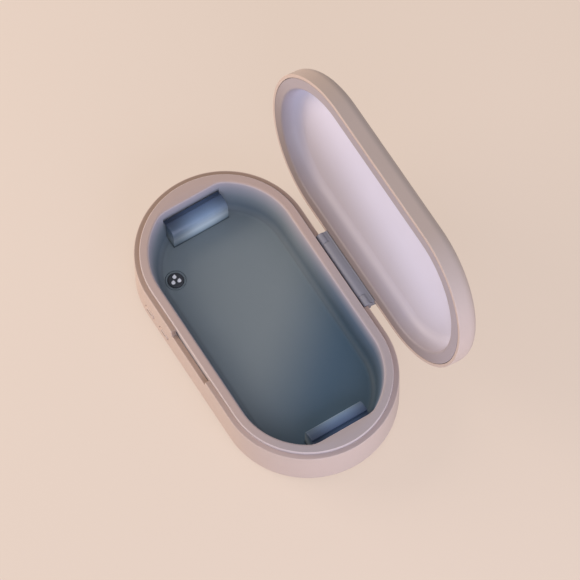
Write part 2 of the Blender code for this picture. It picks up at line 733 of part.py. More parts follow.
def hinge_leaf(hinge):
    """The lid's side of the hinge: a plate let into the lid, the middle knuckle, and the heel that stops it.

    The plate's section is a Z: a flange over the hinge slot, a back, and the part inside the lid, which is
    shorter than the rest.
    """
    half = SLOT_LENGTH / 2 - GAP
    middle = SLOT_LENGTH / 2 - KNUCKLE - HINGE_FIT
    back = PIVOT.y + BARREL_RADIUS
    foot = PIVOT.z + BARREL_RADIUS + HINGE_FIT
    over = LEAF_TOP + WALL
    plate = [
        (DECK_RADIUS + 2 * GAP, foot),
        (back, foot),
        (back, LEAF_TOP, EDGE_ROUND),
        (END_RADIUS - LEAF_REACH, LEAF_TOP),
        (END_RADIUS - LEAF_REACH, LEAF_FOOT),
        (END_RADIUS + GAP, LEAF_FOOT),
        (END_RADIUS + GAP, LID_BOTTOM - GAP),
        (DECK_RADIUS + 2 * GAP, LID_BOTTOM - GAP),
    ]
    leaf = crosswise("hinge_leaf", plate, -half, half)
    for side in (-1, 1):
        low, high = sorted((side * LEAF_INNER, side * SLOT_LENGTH))
        trim = ((low, END_RADIUS - LEAF_REACH - WALL, LEAF_FOOT - GAP), (high, END_RADIUS + 2 * GAP, over))
        cut(leaf, box(f"leaf_trim_{side}", *trim))
    heel_foot = PIVOT.z + PIVOT_OUT + GAP
    heel_top = heel_foot + HEEL_THICKNESS
    knuckle = arc(PIVOT, BARREL_RADIUS, -math.pi, 0, KNUCKLE_STEPS)
    knuckle += [
        (back, heel_foot),
        (PIVOT.y + HEEL_REACH, heel_foot, EDGE_ROUND),
        (PIVOT.y + HEEL_REACH, heel_top, EDGE_ROUND),
        (back - GAP, heel_top),
        (back - GAP, foot + GAP),
        (PIVOT.y - BARREL_RADIUS, foot + GAP),
    ]
    join(leaf, crosswise("leaf_knuckle", knuckle, -middle, middle))
    cut(leaf, rod("leaf_bore", ROD_RADIUS + ROD_FIT, (-half, *PIVOT.yz), (half, *PIVOT.yz)))
    head_top = LEAF_FOOT + LEAF_THICKNESS / 2
    for side in (-1, 1):
        at = (side * LEAF_SCREW_AT[0], LEAF_SCREW_AT[1])
        cut(
            leaf,
            rod(f"leaf_head_seat_{side}", LEAF_SCREW_HEAD + GAP, (*at, LID_BOTTOM), (*at, head_top + GAP)),
            rod(f"leaf_hole_{side}", LEAF_SCREW_RADIUS + ROD_FIT, (*at, LID_BOTTOM), (*at, CLOSED_HEIGHT)),
        )
    return as_part(leaf, "hinge", hinge)


def leaf_screws(hinge):
    """Two screws, hidden by the liner, that hold the leaf to the lid's bosses."""
    head_top = LEAF_FOOT + LEAF_THICKNESS / 2
    for side, place in ((-1, "left"), (1, "right")):
        at = (side * LEAF_SCREW_AT[0], LEAF_SCREW_AT[1])
        screw = rod(f"leaf_screw_{place}", LEAF_SCREW_HEAD, (*at, LEAF_FOOT), (*at, head_top))
        tip = LEAF_FOOT + LEAF_SCREW_LENGTH
        join(screw, rod(f"leaf_shank_{place}", LEAF_SCREW_RADIUS, (*at, head_top - GAP), (*at, tip)))
        as_part(screw, "steel", hinge)


def hinge_rod():
    """Steel rod through the three knuckles."""
    reach = SLOT_LENGTH / 2 - WALL / 2 - GAP
    return as_part(rod("hinge_rod", ROD_RADIUS, (-reach, *PIVOT.yz), (reach, *PIVOT.yz)), "steel")


def buttons():
    """Two capsule buttons in the front wall, each with a light window, a flange and a stem to its switch."""
    outer = -END_RADIUS
    inner = outer + WALL
    length, width, depth = SWITCH_SIZE
    for x, place in zip(BUTTON_X, ("left", "right")):
        face = outer - BUTTON_PROUD
        flange_back = inner + GAP + BUTTON_FLANGE
        cap = capsule(f"button_{place}", x, BUTTON_SIZE, face, inner + 2 * GAP)
        join(cap, capsule(f"flange_{place}", x, BUTTON_SIZE, inner + GAP, flange_back, 3 * GAP))
        window = capsule(f"window_cut_{place}", x, LIGHT_SIZE, face - GAP, inner, GAP)
        cut(cap, window)
        as_part(cap, "shell")
        as_part(capsule(f"button_light_{place}", x, LIGHT_SIZE, face, inner - GAP), "window")
        front = flange_back + BUTTON_TRAVEL + GAP
        switch = box(
            f"button_switch_{place}",
            (x - length / 2, front, BUTTON_HEIGHT - depth / 2),
            (x + length / 2, front + width, BUTTON_HEIGHT + depth / 2),
        )
        as_part(switch, "dark")
    back = inner + GAP + BUTTON_FLANGE + BUTTON_TRAVEL + GAP + width + GAP
    board = box(
        "button_board",
        (BUTTON_X[0] - length, back, BUTTON_HEIGHT - depth / 2),
        (BUTTON_X[1] + length, back + BOARD, BUTTON_HEIGHT + depth / 2),
    )
    as_part(board, "board")


def electronics():
    """Main board under the tub, charging socket in the back wall, lid sensor and the two base magnets."""
    x = MAIN_BOARD_SHIFT
    length = STRAIGHT + MAIN_BOARD_PAST
    width = SCREW_AT[1] - POST_RADIUS - MAIN_BOARD_CLEAR
    foot = PLATE_TOP + BOARD / 2
    board = box("main_board", (x - length, -width, foot), (x + length, width, foot + MAIN_BOARD_THICKNESS))
    as_part(board, "board")
    sx, sy, sz = SOCKET_SIZE
    face = END_RADIUS - WALL / 2
    socket = box(
        "charging_socket",
        (SOCKET_AT - sx / 2, face - sy, SOCKET_HEIGHT - sz / 2),
        (SOCKET_AT + sx / 2, face, SOCKET_HEIGHT + sz / 2),
        bevel=sz / 4,
    )
    cut(
        socket,
        box(
            "socket_mouth",
            (SOCKET_AT - sx / 2 + GAP, face - sy / 2, SOCKET_HEIGHT - sz / 2 + GAP),
            (SOCKET_AT + sx / 2 - GAP, face + WALL, SOCKET_HEIGHT + sz / 2 - GAP),
            bevel=sz / 5,
        ),
    )
    as_part(socket, "steel")
    deck_foot = DECK_TOP - DECK_THICKNESS
    length, width, height = MAGNET_SIZE
    for side, place in ((-1, "left"), (1, "right")):
        at_x, at_y = side * MAGNET_AT[0], -MAGNET_AT[1]
        top = deck_foot + height / 2 - GAP
        magnet = box(
            f"base_magnet_{place}",
            (at_x - length / 2, at_y - width / 2, top - height),
            (at_x + length / 2, at_y + width / 2, top),
        )
        as_part(magnet, "steel")
    length, width, height = SENSOR_SIZE
    sensor_y = -(DECK_RADIUS - SKIRT_WALL - GAP)
    sensor = box(
        "lid_sensor",
        (SENSOR_AT - length / 2, sensor_y, LIP_FOOT + GAP),
        (SENSOR_AT + length / 2, sensor_y + width, LIP_FOOT + GAP + height),
    )
    as_part(sensor, "dark")


def lamp_wires():
    """A wire from each lamp board through the tub's end wall and down under the tub to the main board."""
    for side, place in ((-1, "left"), (1, "right")):
        board_edge = MAIN_BOARD_SHIFT + side * (STRAIGHT + MAIN_BOARD_PAST + GAP)
        height = PLATE_TOP + BOARD
        bend = (WIRE_HEIGHT - height) / 2
        start = Vector((side * (LAMP_BACK + GAP), 0, WIRE_HEIGHT))
        turn = Vector((side * (BODY_LENGTH / 2 - WIRE_INSET - bend), 0, WIRE_HEIGHT - bend))
        points = [start]
        for i in range(WIRE_POINTS + 1):
            angle = math.pi * (0.5 - i / WIRE_POINTS)
            points.append(turn + bend * Vector((side * math.cos(angle), 0, math.sin(angle))))
        points.append(Vector((board_edge, 0, height)))
        curve = bpy.data.curves.new(f"lamp_wire_{place}", "CURVE")
        curve.dimensions = "3D"
        curve.bevel_depth = WIRE_RADIUS
        curve.bevel_resolution = 1
        curve.use_fill_caps = True
        spline = curve.splines.new("POLY")
        spline.points.add(len(points) - 1)
        for point, at in zip(spline.points, points):
            point.co = (*at, 1)
        wire = bpy.data.objects.new(f"lamp_wire_{place}", curve)
        curve.materials.append(material(wire.name, "dark"))
        PARTS.objects.link(wire)


def lid():
    """The lid's pieces hang on an empty at the hinge, which turns them all open."""
    hinge = bpy.data.objects.new("lid_hinge", None)
    PARTS.objects.link(hinge)
    hinge.location = PIVOT
    hinge.empty_display_size = BARREL_RADIUS
    lid_outer_shell(hinge)
    lid_liner(hinge)
    lid_magnets(hinge)
    hinge_leaf(hinge)
    leaf_screws(hinge)
    hinge.rotation_euler.x = -LID_OPEN


def attach_cutters():
    """Cutters of a lid piece turn with it."""
    hinge = bpy.data.objects["lid_hinge"]
    for piece in hinge.children:
        for modifier in piece.modifiers:
            modifier.object.parent = hinge
            modifier.object.matrix_parent_inverse = Matrix.Translation(-hinge.location)


base_shell()
bottom_plate()
feet()
base_screws()
deck_tub()
lamps()
aroma_port()
lid()
attach_cutters()
hinge_rod()
buttons()
electronics()
lamp_wires()
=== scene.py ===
# %% [markdown]
# # A UV sanitizer box for phones
#
# The box is a stadium-shaped base with a deep tub, and a lid that stands open on a hinge at the back.
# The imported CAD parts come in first. Every surface below is worked out from the same sizes, so that it lies
# where the CAD solid lies, with finer rounds, softer corners and the finish of the real plastic.

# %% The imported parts
import math

import bmesh
import bpy
import numpy as np
from mathutils import Matrix, Vector


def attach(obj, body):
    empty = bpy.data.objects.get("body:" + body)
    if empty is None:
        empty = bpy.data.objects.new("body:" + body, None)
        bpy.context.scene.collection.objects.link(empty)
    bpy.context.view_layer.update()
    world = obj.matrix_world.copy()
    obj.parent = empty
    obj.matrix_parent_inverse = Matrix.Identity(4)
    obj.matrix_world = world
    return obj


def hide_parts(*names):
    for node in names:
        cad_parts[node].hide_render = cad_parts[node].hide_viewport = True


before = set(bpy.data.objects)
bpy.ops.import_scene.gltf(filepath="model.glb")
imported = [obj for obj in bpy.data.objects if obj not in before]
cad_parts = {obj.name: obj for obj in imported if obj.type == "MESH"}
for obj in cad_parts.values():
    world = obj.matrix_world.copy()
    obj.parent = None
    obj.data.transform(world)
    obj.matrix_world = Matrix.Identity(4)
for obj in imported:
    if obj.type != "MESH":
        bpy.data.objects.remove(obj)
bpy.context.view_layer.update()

# %% [markdown]
# ## The camera
#
# The box is seen from far away with a long lens, from its front and its right end, so that its outline
# hardly narrows with distance. The view is turned a little round the line of sight.

# %% The camera
AZIMUTH = math.radians(59.85)
ELEVATION = math.radians(65.13)
ROLL = math.radians(-1.59)
DISTANCE = 3.6082
AIM = Vector((-0.0058, 0.0211, 0.032))
SENSOR = 36.0
LENS = 360.8


def shown(name, data):
    """A new object in the scene for a mesh, a lamp or a camera."""
    made = bpy.data.objects.new(name, data)
    bpy.context.scene.collection.objects.link(made)
    return made


def make_camera():
    """Turns the camera round the aim point by azimuth, then elevation, and rolls it about its own line."""
    back = Vector((
        math.sin(AZIMUTH) * math.cos(ELEVATION),
        -math.cos(AZIMUTH) * math.cos(ELEVATION),
        math.sin(ELEVATION),
    ))
    level = Vector((math.cos(AZIMUTH), math.sin(AZIMUTH), 0))
    up = back.cross(level)
    right = level * math.cos(ROLL) + up * math.sin(ROLL)
    turned_up = up * math.cos(ROLL) - level * math.sin(ROLL)
    data = bpy.data.cameras.new("camera")
    data.lens, data.sensor_width = LENS, SENSOR
    made = shown("camera", data)
    axes = Matrix((right, turned_up, back)).transposed().to_4x4()
    made.matrix_world = Matrix.Translation(AIM + back * DISTANCE) @ axes
    bpy.context.scene.camera = made
    return made


camera = make_camera()
print("Camera stands at", tuple(round(c, 3) for c in camera.matrix_world.translation))

# %% [markdown]
# ## Sizes
#
# All sizes below are in millimetres and turn into metres when a mesh is made. The outline is a stadium: two
# half circles joined by straight sides. A radius always means the distance from its middle line, so one
# number fixes a wall all the way round.

# %% Sizes
MM = 0.001
STRAIGHT = 49.5
END_RADIUS = 56.5
LEDGE = 32.0
LIP = 53.0
DECK = 34.5
FLOOR = 10.0
LID_TOP = 49.85
LID_FOOT = 34.8
PIVOT = np.array([57.0, 30.4])
LID_OPEN = math.radians(101)
CHORD_SHIFT = 44.8
AROMA_AT = (-58.0, -31.0)
print("Outline", 2 * (STRAIGHT + END_RADIUS), "by", 2 * END_RADIUS, "mm")

# %% [markdown]
# ## From arrays to a mesh
#
# A surface here is a grid of points, worked out for all points at once. The grid's faces join each point to
# its neighbours, and a direction that runs all the way round is closed by counting on from the last to the
# first. Blender could also spin or extrude a profile, but a grid keeps every formula in one place.

# %% From arrays to a mesh
DOUBLE = 1e-7
SHARP = math.radians(32)


def grid_faces(rows, columns, close_rows=True, close_columns=True):
    """Faces with four corners between the neighbours (i, j), (i, j+1), (i+1, j+1), (i+1, j) of a grid."""
    i = np.arange(rows if close_rows else rows - 1)[:, None]
    j = np.arange(columns if close_columns else columns - 1)[None, :]
    below, right = (i + 1) % rows, (j + 1) % columns
    corners = [i * columns + j, i * columns + right, below * columns + right, below * columns + j]
    return np.stack(corners, axis=-1).reshape(-1, 4).tolist()


def shade(piece):
    """Smooth shading, with hard edges where two faces meet at a real corner."""
    piece.data.shade_smooth()
    piece.data.set_sharp_from_angle(angle=SHARP)
    return piece


def piece_from(name, points, faces):
    """An object from points in millimetres, with its doubles merged and its faces turned outwards."""
    mesh = bpy.data.meshes.new(name)
    mesh.from_pydata((points.reshape(-1, 3) * MM).tolist(), [], faces)
    bm = bmesh.new()
    bm.from_mesh(mesh)
    bmesh.ops.remove_doubles(bm, verts=bm.verts, dist=DOUBLE)
    bmesh.ops.recalc_face_normals(bm, faces=bm.faces)
    bm.to_mesh(mesh)
    bm.free()
    return shade(shown(name, mesh))


def surface(name, points, closed_profile=True):
    """A grid (station, profile point) as a closed piece. An open profile gets a flat face at each end."""
    rows, columns = points.shape[:2]
    faces = grid_faces(rows, columns, True, closed_profile)
    if not closed_profile:
        first = np.arange(rows) * columns
        faces += [first.tolist(), (first + columns - 1).tolist()]
    return piece_from(name, points, faces)


def carve(piece, *tools, operation="DIFFERENCE"):
    """Cuts closed tools out of a piece one by one, or joins them to it, and keeps a plain mesh.

    The Boolean treats points closer than a millionth of a unit as one, so it works in millimetres here.
    """
    grow = Matrix.Scale(1 / MM, 4)
    for tool in tools:
        piece.data.transform(grow)
        tool.data.transform(grow)
        step = piece.modifiers.new("step", "BOOLEAN")
        step.operation, step.solver, step.object = operation, "EXACT", tool
        bpy.context.view_layer.update()
        seen = piece.evaluated_get(bpy.context.evaluated_depsgraph_get())
        result = bpy.data.meshes.new_from_object(seen)
        result.transform(grow.inverted())
        piece.modifiers.clear()
        piece.data = result
        bpy.data.objects.remove(tool)
    return shade(piece)


# %% [markdown]
# ## Profiles with rounded corners
#
# No moulded edge is sharp: the mould is rounded so that the plastic flows and comes out. Each corner of a
# profile is swapped for an arc. A guard point just before and after each arc keeps the shading of the flat
# stretch flat. A Bevel modifier could do this too, but it can't give each corner its own size so plainly.

# %% Profiles with rounded corners
ARC_STEPS = 6
GUARD, FINE_GUARD = 0.12, 0.03


def circle(angle):
    """The points (cosine, sine) of a circle of radius 1."""
    return np.stack([np.cos(angle), np.sin(angle)], axis=-1)


def rounded(corners, steps=ARC_STEPS, guard=GUARD):
    """A closed path of corners (u, v) or (u, v, radius), with an arc in place of each corner with a radius.

    The arc touches both sides radius / tan(half the angle) away from the corner, and its centre lies
    radius / sin(half the angle) away on the line that halves the angle.
    """
    points = np.array([corner[:2] for corner in corners], float)
    path = []
    for k, corner in enumerate(corners):
        at = points[k]
        if len(corner) == 2:
            path.append(at[None])
            continue
        to_before = points[k - 1] - at
        to_after = points[(k + 1) % len(points)] - at
        to_before /= np.linalg.norm(to_before)
        to_after /= np.linalg.norm(to_after)
        half = math.acos(float(to_before @ to_after)) / 2
        reach = corner[2] / math.tan(half)
        middle = (to_before + to_after) / np.linalg.norm(to_before + to_after)
        centre = at + middle * corner[2] / math.sin(half)
        start, end = at + to_before * reach - centre, at + to_after * reach - centre
        first = math.atan2(start[1], start[0])
        sweep = math.remainder(math.atan2(end[1], end[0]) - first, math.tau)
        arc = centre + corner[2] * circle(first + sweep * np.linspace(0, 1, steps + 1))
        path += [(at + to_before * (reach + guard))[None], arc, (at + to_after * (reach + guard))[None]]
    return np.concatenate(path)


# %% [markdown]
# ## Stations round a stadium
#
# A station says where a cross-section stands: how far along the straight side, from -1 at the left end to
# 1 at the right end, and which way it faces. Carrying a profile through all stations gives the base, the
# tub, the lid, the buttons and the socket. A round piece has no straight side, so its profile is turned
# about an axis, as on a lathe. What has one section all along is drawn out as a bar.

# %% Stations round a stadium
END_STEPS, TURN_STEPS = 56, 48
SIDE = np.linspace(-1, 1, 14)[1:-1]


def stations(front=SIDE, back=SIDE, steps=END_STEPS):
    """Places (along, facing) once round: right end, back side, left end, front side."""
    turn = np.linspace(-math.pi / 2, math.pi / 2, steps + 1)
    ones = np.ones(steps + 1)
    along = np.concatenate([ones, back[::-1], -ones, front])
    quarter = np.full(len(back), math.pi / 2), np.full(len(front), -math.pi / 2)
    return along, circle(np.concatenate([turn, quarter[0], turn + math.pi, quarter[1]]))


def carried(radius, height, path, straight=STRAIGHT):
    """The point at a station is along x straight, plus radius times facing, lifted to the height."""
    along, facing = path
    x = along[:, None] * straight + facing[:, :1] * radius
    y = facing[:, 1:] * radius
    return np.stack([x, y, np.broadcast_to(height, x.shape)], axis=-1)


def turned(name, corners, at, closed_profile=False):
    """A profile of (radius, height) turned once about an upright axis through a point."""
    angle = np.linspace(0, math.tau, TURN_STEPS, endpoint=False)[:, None]
    radius, height = rounded(corners).T
    x, y = at[0] + radius * np.cos(angle), at[1] + radius * np.sin(angle)
    return surface(name, np.stack([x, y, height + 0 * angle], axis=-1), closed_profile)


def bar(name, outline, start, end, edge, axes=(0, 1, 2), steps=4):
    """An outline (u, v) drawn along w from start to end, drawn in along its own normals at both ends.

    Where w stands edge x (1 - cosine) from an end, the outline is smaller by edge x (1 - sine) of the same
    angle, which rounds the end's rim. The axes say which of x, y and z the numbers w, u and v become.
    """
    before, after = np.roll(outline, 1, axis=0), np.roll(outline, -1, axis=0)
    run = after - before
    normal = np.stack([run[:, 1], -run[:, 0]], axis=-1) / np.linalg.norm(run, axis=1, keepdims=True)
    area = np.sum(outline[:, 0] * after[:, 1] - after[:, 0] * outline[:, 1])
    normal *= np.sign(area)
    turn = np.linspace(0, math.pi / 2, steps + 1)
    inset = edge * (1 - np.sin(turn))
    w = np.concatenate([start + edge * (1 - np.cos(turn)), end - edge * (1 - np.cos(turn[::-1]))])
    shrink = np.concatenate([inset, inset[::-1]])
    section = outline[None] - shrink[:, None, None] * normal[None]
    rows, columns = section.shape[:2]
    points = np.zeros((rows, columns, 3))
    points[..., axes[0]] = w[:, None]
    points[..., axes[1]], points[..., axes[2]] = section[..., 0], section[..., 1]
    faces = grid_faces(rows, columns, False, True)
    faces += [list(range(columns)), list(range((rows - 1) * columns, rows * columns))]
    return piece_from(name, points, faces)


# %% [markdown]
# ## Shared effects
#
# Moulded plastic is never one flat colour. Its skin copies the fine spark-eroded grain of the mould, its tone
# drifts a little where the melt cooled at a different rate, and some spots are glossier than others. One node
# group makes all three from Object coordinates, and every plastic below uses it with its own numbers. Small
# helpers come first, because the same few kinds of node are asked for again and again.


# %% Helpers for nodes
def put(tree, kind, inputs=None, **settings):
    """Adds a node. An input given as a socket is linked, and one given as a number or colour is set."""
    made = tree.nodes.new(kind)
    for name, value in settings.items():
        setattr(made, name, value)
    for name, value in (inputs or {}).items():
        if isinstance(value, bpy.types.NodeSocket):
            tree.links.new(value, made.inputs[name])
        else:
            made.inputs[name].default_value = value
    return made


def maths(tree, operation, *values):
    """The result of a Math node."""
    return put(tree, "ShaderNodeMath", dict(enumerate(values)), operation=operation).outputs[0]


def spread(tree, value, low, high, to=(0.0, 1.0), soft=False):
    """A value between low and high laid onto another range, held beyond it, and eased at its ends if soft."""
    given = {"Value": value, "From Min": low, "From Max": high, "To Min": to[0], "To Max": to[1]}
    kind = "SMOOTHSTEP" if soft else "LINEAR"
    return put(tree, "ShaderNodeMapRange", given, interpolation_type=kind).outputs["Result"]


def here(tree):
    """The place in the piece's own Object coordinates."""
    return put(tree, "ShaderNodeTexCoord").outputs["Object"]


def numbers(tree, arrow):
    """The numbers X, Y and Z of an arrow."""
    return put(tree, "ShaderNodeSeparateXYZ", {"Vector": arrow}).outputs


def noise(tree, where, scale, detail=2.0):
    """A noise from 0 to 1 with so many patches to a metre."""
    given = {"Vector": where, "Scale": scale, "Detail": detail}
    return put(tree, "ShaderNodeTexNoise", given).outputs["Fac"]


def scaled(tree, colour, by):
    """A colour made lighter or darker by a number."""
    return put(tree, "ShaderNodeVectorMath", {"Vector": colour, "Scale": by}, operation="SCALE").outputs[0]


def blended(tree, factor, first, second):
    """The first colour where the factor is 0, the second where it is 1."""
    return put(tree, "ShaderNodeMix", {0: factor, 6: first, 7: second}, data_type="RGBA").outputs[2]


# %% The moulded skin
COLOUR, NUMBER, ARROW = "NodeSocketColor", "NodeSocketFloat", "NodeSocketVector"
CLOUDS, PATCHES, PATCH_DETAIL = 34.0, 130.0, 3.0
GLOSS_SPREAD = 0.16
GRAIN_HEIGHT = 0.00008


def new_group(name, given, made):
    """A shader node group, whose inputs are given with their values and whose outputs with their kinds."""
    tree = bpy.data.node_groups.new(name, "ShaderNodeTree")
    for label, value in given.items():
        kind = COLOUR if isinstance(value, tuple) else NUMBER
        tree.interface.new_socket(label, in_out="INPUT", socket_type=kind).default_value = value
    for label, kind in made.items():
        tree.interface.new_socket(label, in_out="OUTPUT", socket_type=kind)
    print("Node group:", name)
    return tree


def moulded_skin():
    """Tone drift, fine grain and uneven gloss from three noises at 30 mm, 0.5 mm and 8 mm."""
    tree = new_group(
        "moulded_skin",
        {"Tint": (0.8, 0.8, 0.8, 1), "Drift": 0.06, "Grain": 2000.0, "Depth": 0.25, "Polish": 0.42},
        {"Color": COLOUR, "Roughness": NUMBER, "Normal": ARROW},
    )
    given = put(tree, "NodeGroupInput").outputs
    where = here(tree)
    centred = maths(tree, "SUBTRACT", noise(tree, where, CLOUDS), 0.5)
    drift = maths(tree, "MULTIPLY_ADD", centred, given["Drift"], 1.0)
    tone = scaled(tree, given["Tint"], drift)
    uneven = maths(tree, "SUBTRACT", noise(tree, where, PATCHES, PATCH_DETAIL), 0.5)
    gloss = maths(tree, "MULTIPLY_ADD", uneven, GLOSS_SPREAD, given["Polish"])
    grain = noise(tree, where, given["Grain"])
    bumped = {"Height": grain, "Strength": given["Depth"], "Distance": GRAIN_HEIGHT}
    bump = put(tree, "ShaderNodeBump", bumped).outputs[0]
    put(tree, "NodeGroupOutput", {"Color": tone, "Roughness": gloss, "Normal": bump})
    return tree


SKIN = moulded_skin()

# %% [markdown]
# Some finishes change with the distance from the middle line of the stadium, such as the ledge's painted
# shade.
# The first group works that distance out from Object coordinates. The second group paints a highlight: it
# lightens a narrow band at a given distance, where an edge catches the light, which follows the outline all
# round.


# %% Distance from the middle line
def stadium_distance():
    """The length of the arrow (|x| less the straight, at least 0; y)."""
    tree = new_group("stadium_distance", {}, {"Distance": NUMBER})
    at = numbers(tree, here(tree))
    past = maths(tree, "SUBTRACT", maths(tree, "ABSOLUTE", at["X"]), STRAIGHT * MM)
    flat = put(tree, "ShaderNodeCombineXYZ", {"X": maths(tree, "MAXIMUM", past, 0.0), "Y": at["Y"]})
    length = put(tree, "ShaderNodeVectorMath", {"Vector": flat.outputs[0]}, operation="LENGTH")
    put(tree, "NodeGroupOutput", {"Distance": length.outputs["Value"]})
    return tree


FROM_MIDDLE = stadium_distance()


# %% Painted rim highlights
def painted_rim_highlight():
    """A painted highlight: the band is lightest where the distance equals Rim, and fades to nothing over
    Width to both sides.
    """
    colours = {"Tint": (0.5, 0.5, 0.5, 1), "Light": (0.8, 0.8, 0.8, 1)}
    places = {"Distance": 0.0, "Rim": 0.05, "Width": 0.0004}
    tree = new_group("painted_rim_highlight", colours | places, {"Color": COLOUR})
    given = put(tree, "NodeGroupInput").outputs
    off = maths(tree, "ABSOLUTE", maths(tree, "SUBTRACT", given["Distance"], given["Rim"]))
    near = spread(tree, off, 0.0, given["Width"], to=(1.0, 0.0), soft=True)
    put(tree, "NodeGroupOutput", {"Color": blended(tree, near, given["Tint"], given["Light"])})
    return tree


RIM_HIGHLIGHT = painted_rim_highlight()

# %% A plastic
GREY = (0.5, 0.5, 0.5)


def new_material(name):
    """A material with nodes, its tree, and the Principled shader in it."""
    made = bpy.data.materials.new(name)
    made.use_nodes = True
    print("Material:", name)
    return made, made.node_tree, made.node_tree.nodes["Principled BSDF"]


def dress(tree, shader, colour, roughness, normal):
    """Links the looks that change over a surface to its shader."""
    for name, look in (("Base Color", colour), ("Roughness", roughness), ("Normal", normal)):
        tree.links.new(look, shader.inputs[name])


def plastic(name, tint=GREY, polish=0.42, grain=2000.0, depth=0.25, drift=0.06):
    """A Principled material that wears the moulded skin. Grey stands where a colour is linked in later."""
    made, tree, shader = new_material(name)
    given = {"Tint": (*tint, 1), "Drift": drift, "Grain": grain, "Depth": depth, "Polish": polish}
    skin = put(tree, "ShaderNodeGroup", given, node_tree=SKIN).outputs
    dress(tree, shader, skin["Color"], skin["Roughness"], skin["Normal"])
    return made


def tinted(material, colour):
    """The same material, with a colour that changes over the surface linked to its moulded skin."""
    tree = material.node_tree
    skin = next(node for node in tree.nodes if node.type == "GROUP" and node.node_tree == SKIN)
    tree.links.new(colour, skin.inputs["Tint"])
    return material


# %% [markdown]
# ## Finishes
#
# The shell and the lid are one blush-white plastic, and the ledge inside the shell's edge is painted a darker
# taupe for shade. Deck and tub are one moulding, painted with light and shade: the tone falls from the deck
# through a painted lavender highlight at the lip and the lamps' painted blue glow to slate on the floor, and
# to navy painted shade at the back and the right end. A material looks such a tone up in ramps, along a
# height, a distance or a slanted line in Object coordinates. Separate materials would leave a hard line.

# %% The blush plastic and helpers for tones
BLUSH = (0.61, 0.49, 0.425)
# The colour of the painted highlights along the rims.
HIGHLIGHT_TONE = (0.66, 0.57, 0.54, 1)
shell_plastic = plastic("blush_plastic", BLUSH, polish=0.45)


def ramp(tree, value, stops):
    """A colour ramp with its stops (place, colour), which are given in order."""
    made = put(tree, "ShaderNodeValToRGB", {"Fac": value})
    elements = made.color_ramp.elements
    for place, colour in stops[2:]:
        elements.new(place)
    for element, (place, colour) in zip(elements, stops):
        element.position = place
        element.color = (*colour, 1)
    return made.outputs["Color"]


def slanting(tree, where, lean, first, last):
    """A share from 0 to 1 that grows smoothly with the dot product of a place and a direction."""
    along = put(tree, "ShaderNodeVectorMath", {0: where, 1: lean}, operation="DOT_PRODUCT")
    return spread(tree, along.outputs["Value"], first * MM, last * MM, soft=True)


def with_rim_highlight(tree, tone, distance, rim, width):
    """A tone with a painted highlight band of a width on both sides of a rim."""
    given = {"Tint": tone, "Light": HIGHLIGHT_TONE, "Distance": distance, "Rim": rim * MM, "Width": width * MM}
    return put(tree, "ShaderNodeGroup", given, node_tree=RIM_HIGHLIGHT).outputs["Color"]


# %% The wall's plastic
# The ledge's taupe is painted shade, paler towards the right end as painted light, and the lip carries a
# painted highlight.
LEDGE_SHADE = (0.37, 0.265, 0.21)
LEDGE_SHADE_RIGHT = (0.47, 0.37, 0.34)
LEDGE_EDGE, LEDGE_SHADE_END = 55.8, 100.0
WALL_HIGHLIGHT_WIDTH = 0.3


def wall_tone_and_painted_light():
    """Blush on the wall, and painted shade in taupe on the ledge inside its edge, which pales from the middle
    to the right as painted light.
    """
    made = plastic("wall_plastic", BLUSH, polish=0.45)
    tree = made.node_tree
    distance = put(tree, "ShaderNodeGroup", node_tree=FROM_MIDDLE).outputs[0]
    way = spread(tree, distance, LEDGE_EDGE * MM, END_RADIUS * MM)
    left, right = (ramp(tree, way, [(0.0, taupe), (0.9, BLUSH)]) for taupe in (LEDGE_SHADE, LEDGE_SHADE_RIGHT))
    share = spread(tree, numbers(tree, here(tree))["X"], 0.0, LEDGE_SHADE_END * MM)
    tone = blended(tree, share, left, right)
    return tinted(made, with_rim_highlight(tree, tone, distance, LIP, WALL_HIGHLIGHT_WIDTH))


wall_plastic = wall_tone_and_painted_light()

# %% The tub's plastic
# Painted light and shade: a painted highlight at the lip, the lamps' painted blue glow on the wall, painted
# shade deepening towards the floor and in its round, painted light lifting the floor itself, navy painted
# shade at the back and the right end, and a deck painted warm at the front left and cool at the back right.
TUB_LIGHT_AND_SHADE_LEFT = [
    (0.0, (0.175, 0.215, 0.228)),
    (0.012, (0.12, 0.15, 0.165)),
    (0.14, (0.115, 0.15, 0.175)),
    (0.45, (0.19, 0.225, 0.25)),
    (0.78, (0.325, 0.325, 0.36)),
    (0.92, (0.43, 0.39, 0.42)),
    (0.972, (0.56, 0.48, 0.47)),
    (0.992, (0.47, 0.36, 0.315)),
]
TUB_LIGHT_AND_SHADE_RIGHT = [
    (0.0, (0.05, 0.10, 0.15)),
    (0.012, (0.03, 0.065, 0.10)),
    (0.25, (0.045, 0.08, 0.12)),
    (0.60, (0.09, 0.14, 0.21)),
    (0.84, (0.26, 0.28, 0.35)),
    (0.93, (0.40, 0.37, 0.43)),
    (0.972, (0.50, 0.45, 0.50)),
    (0.992, (0.385, 0.335, 0.335)),
]
TUB_SHADE_LEAN, TUB_SHADE_FROM, TUB_SHADE_TO = (1.0, 0.9, 0.0), -5.0, 70.0
# The place and width of the painted highlight along the deck's edge.
TUB_RIM, TUB_HIGHLIGHT_WIDTH = 52.8, 0.45


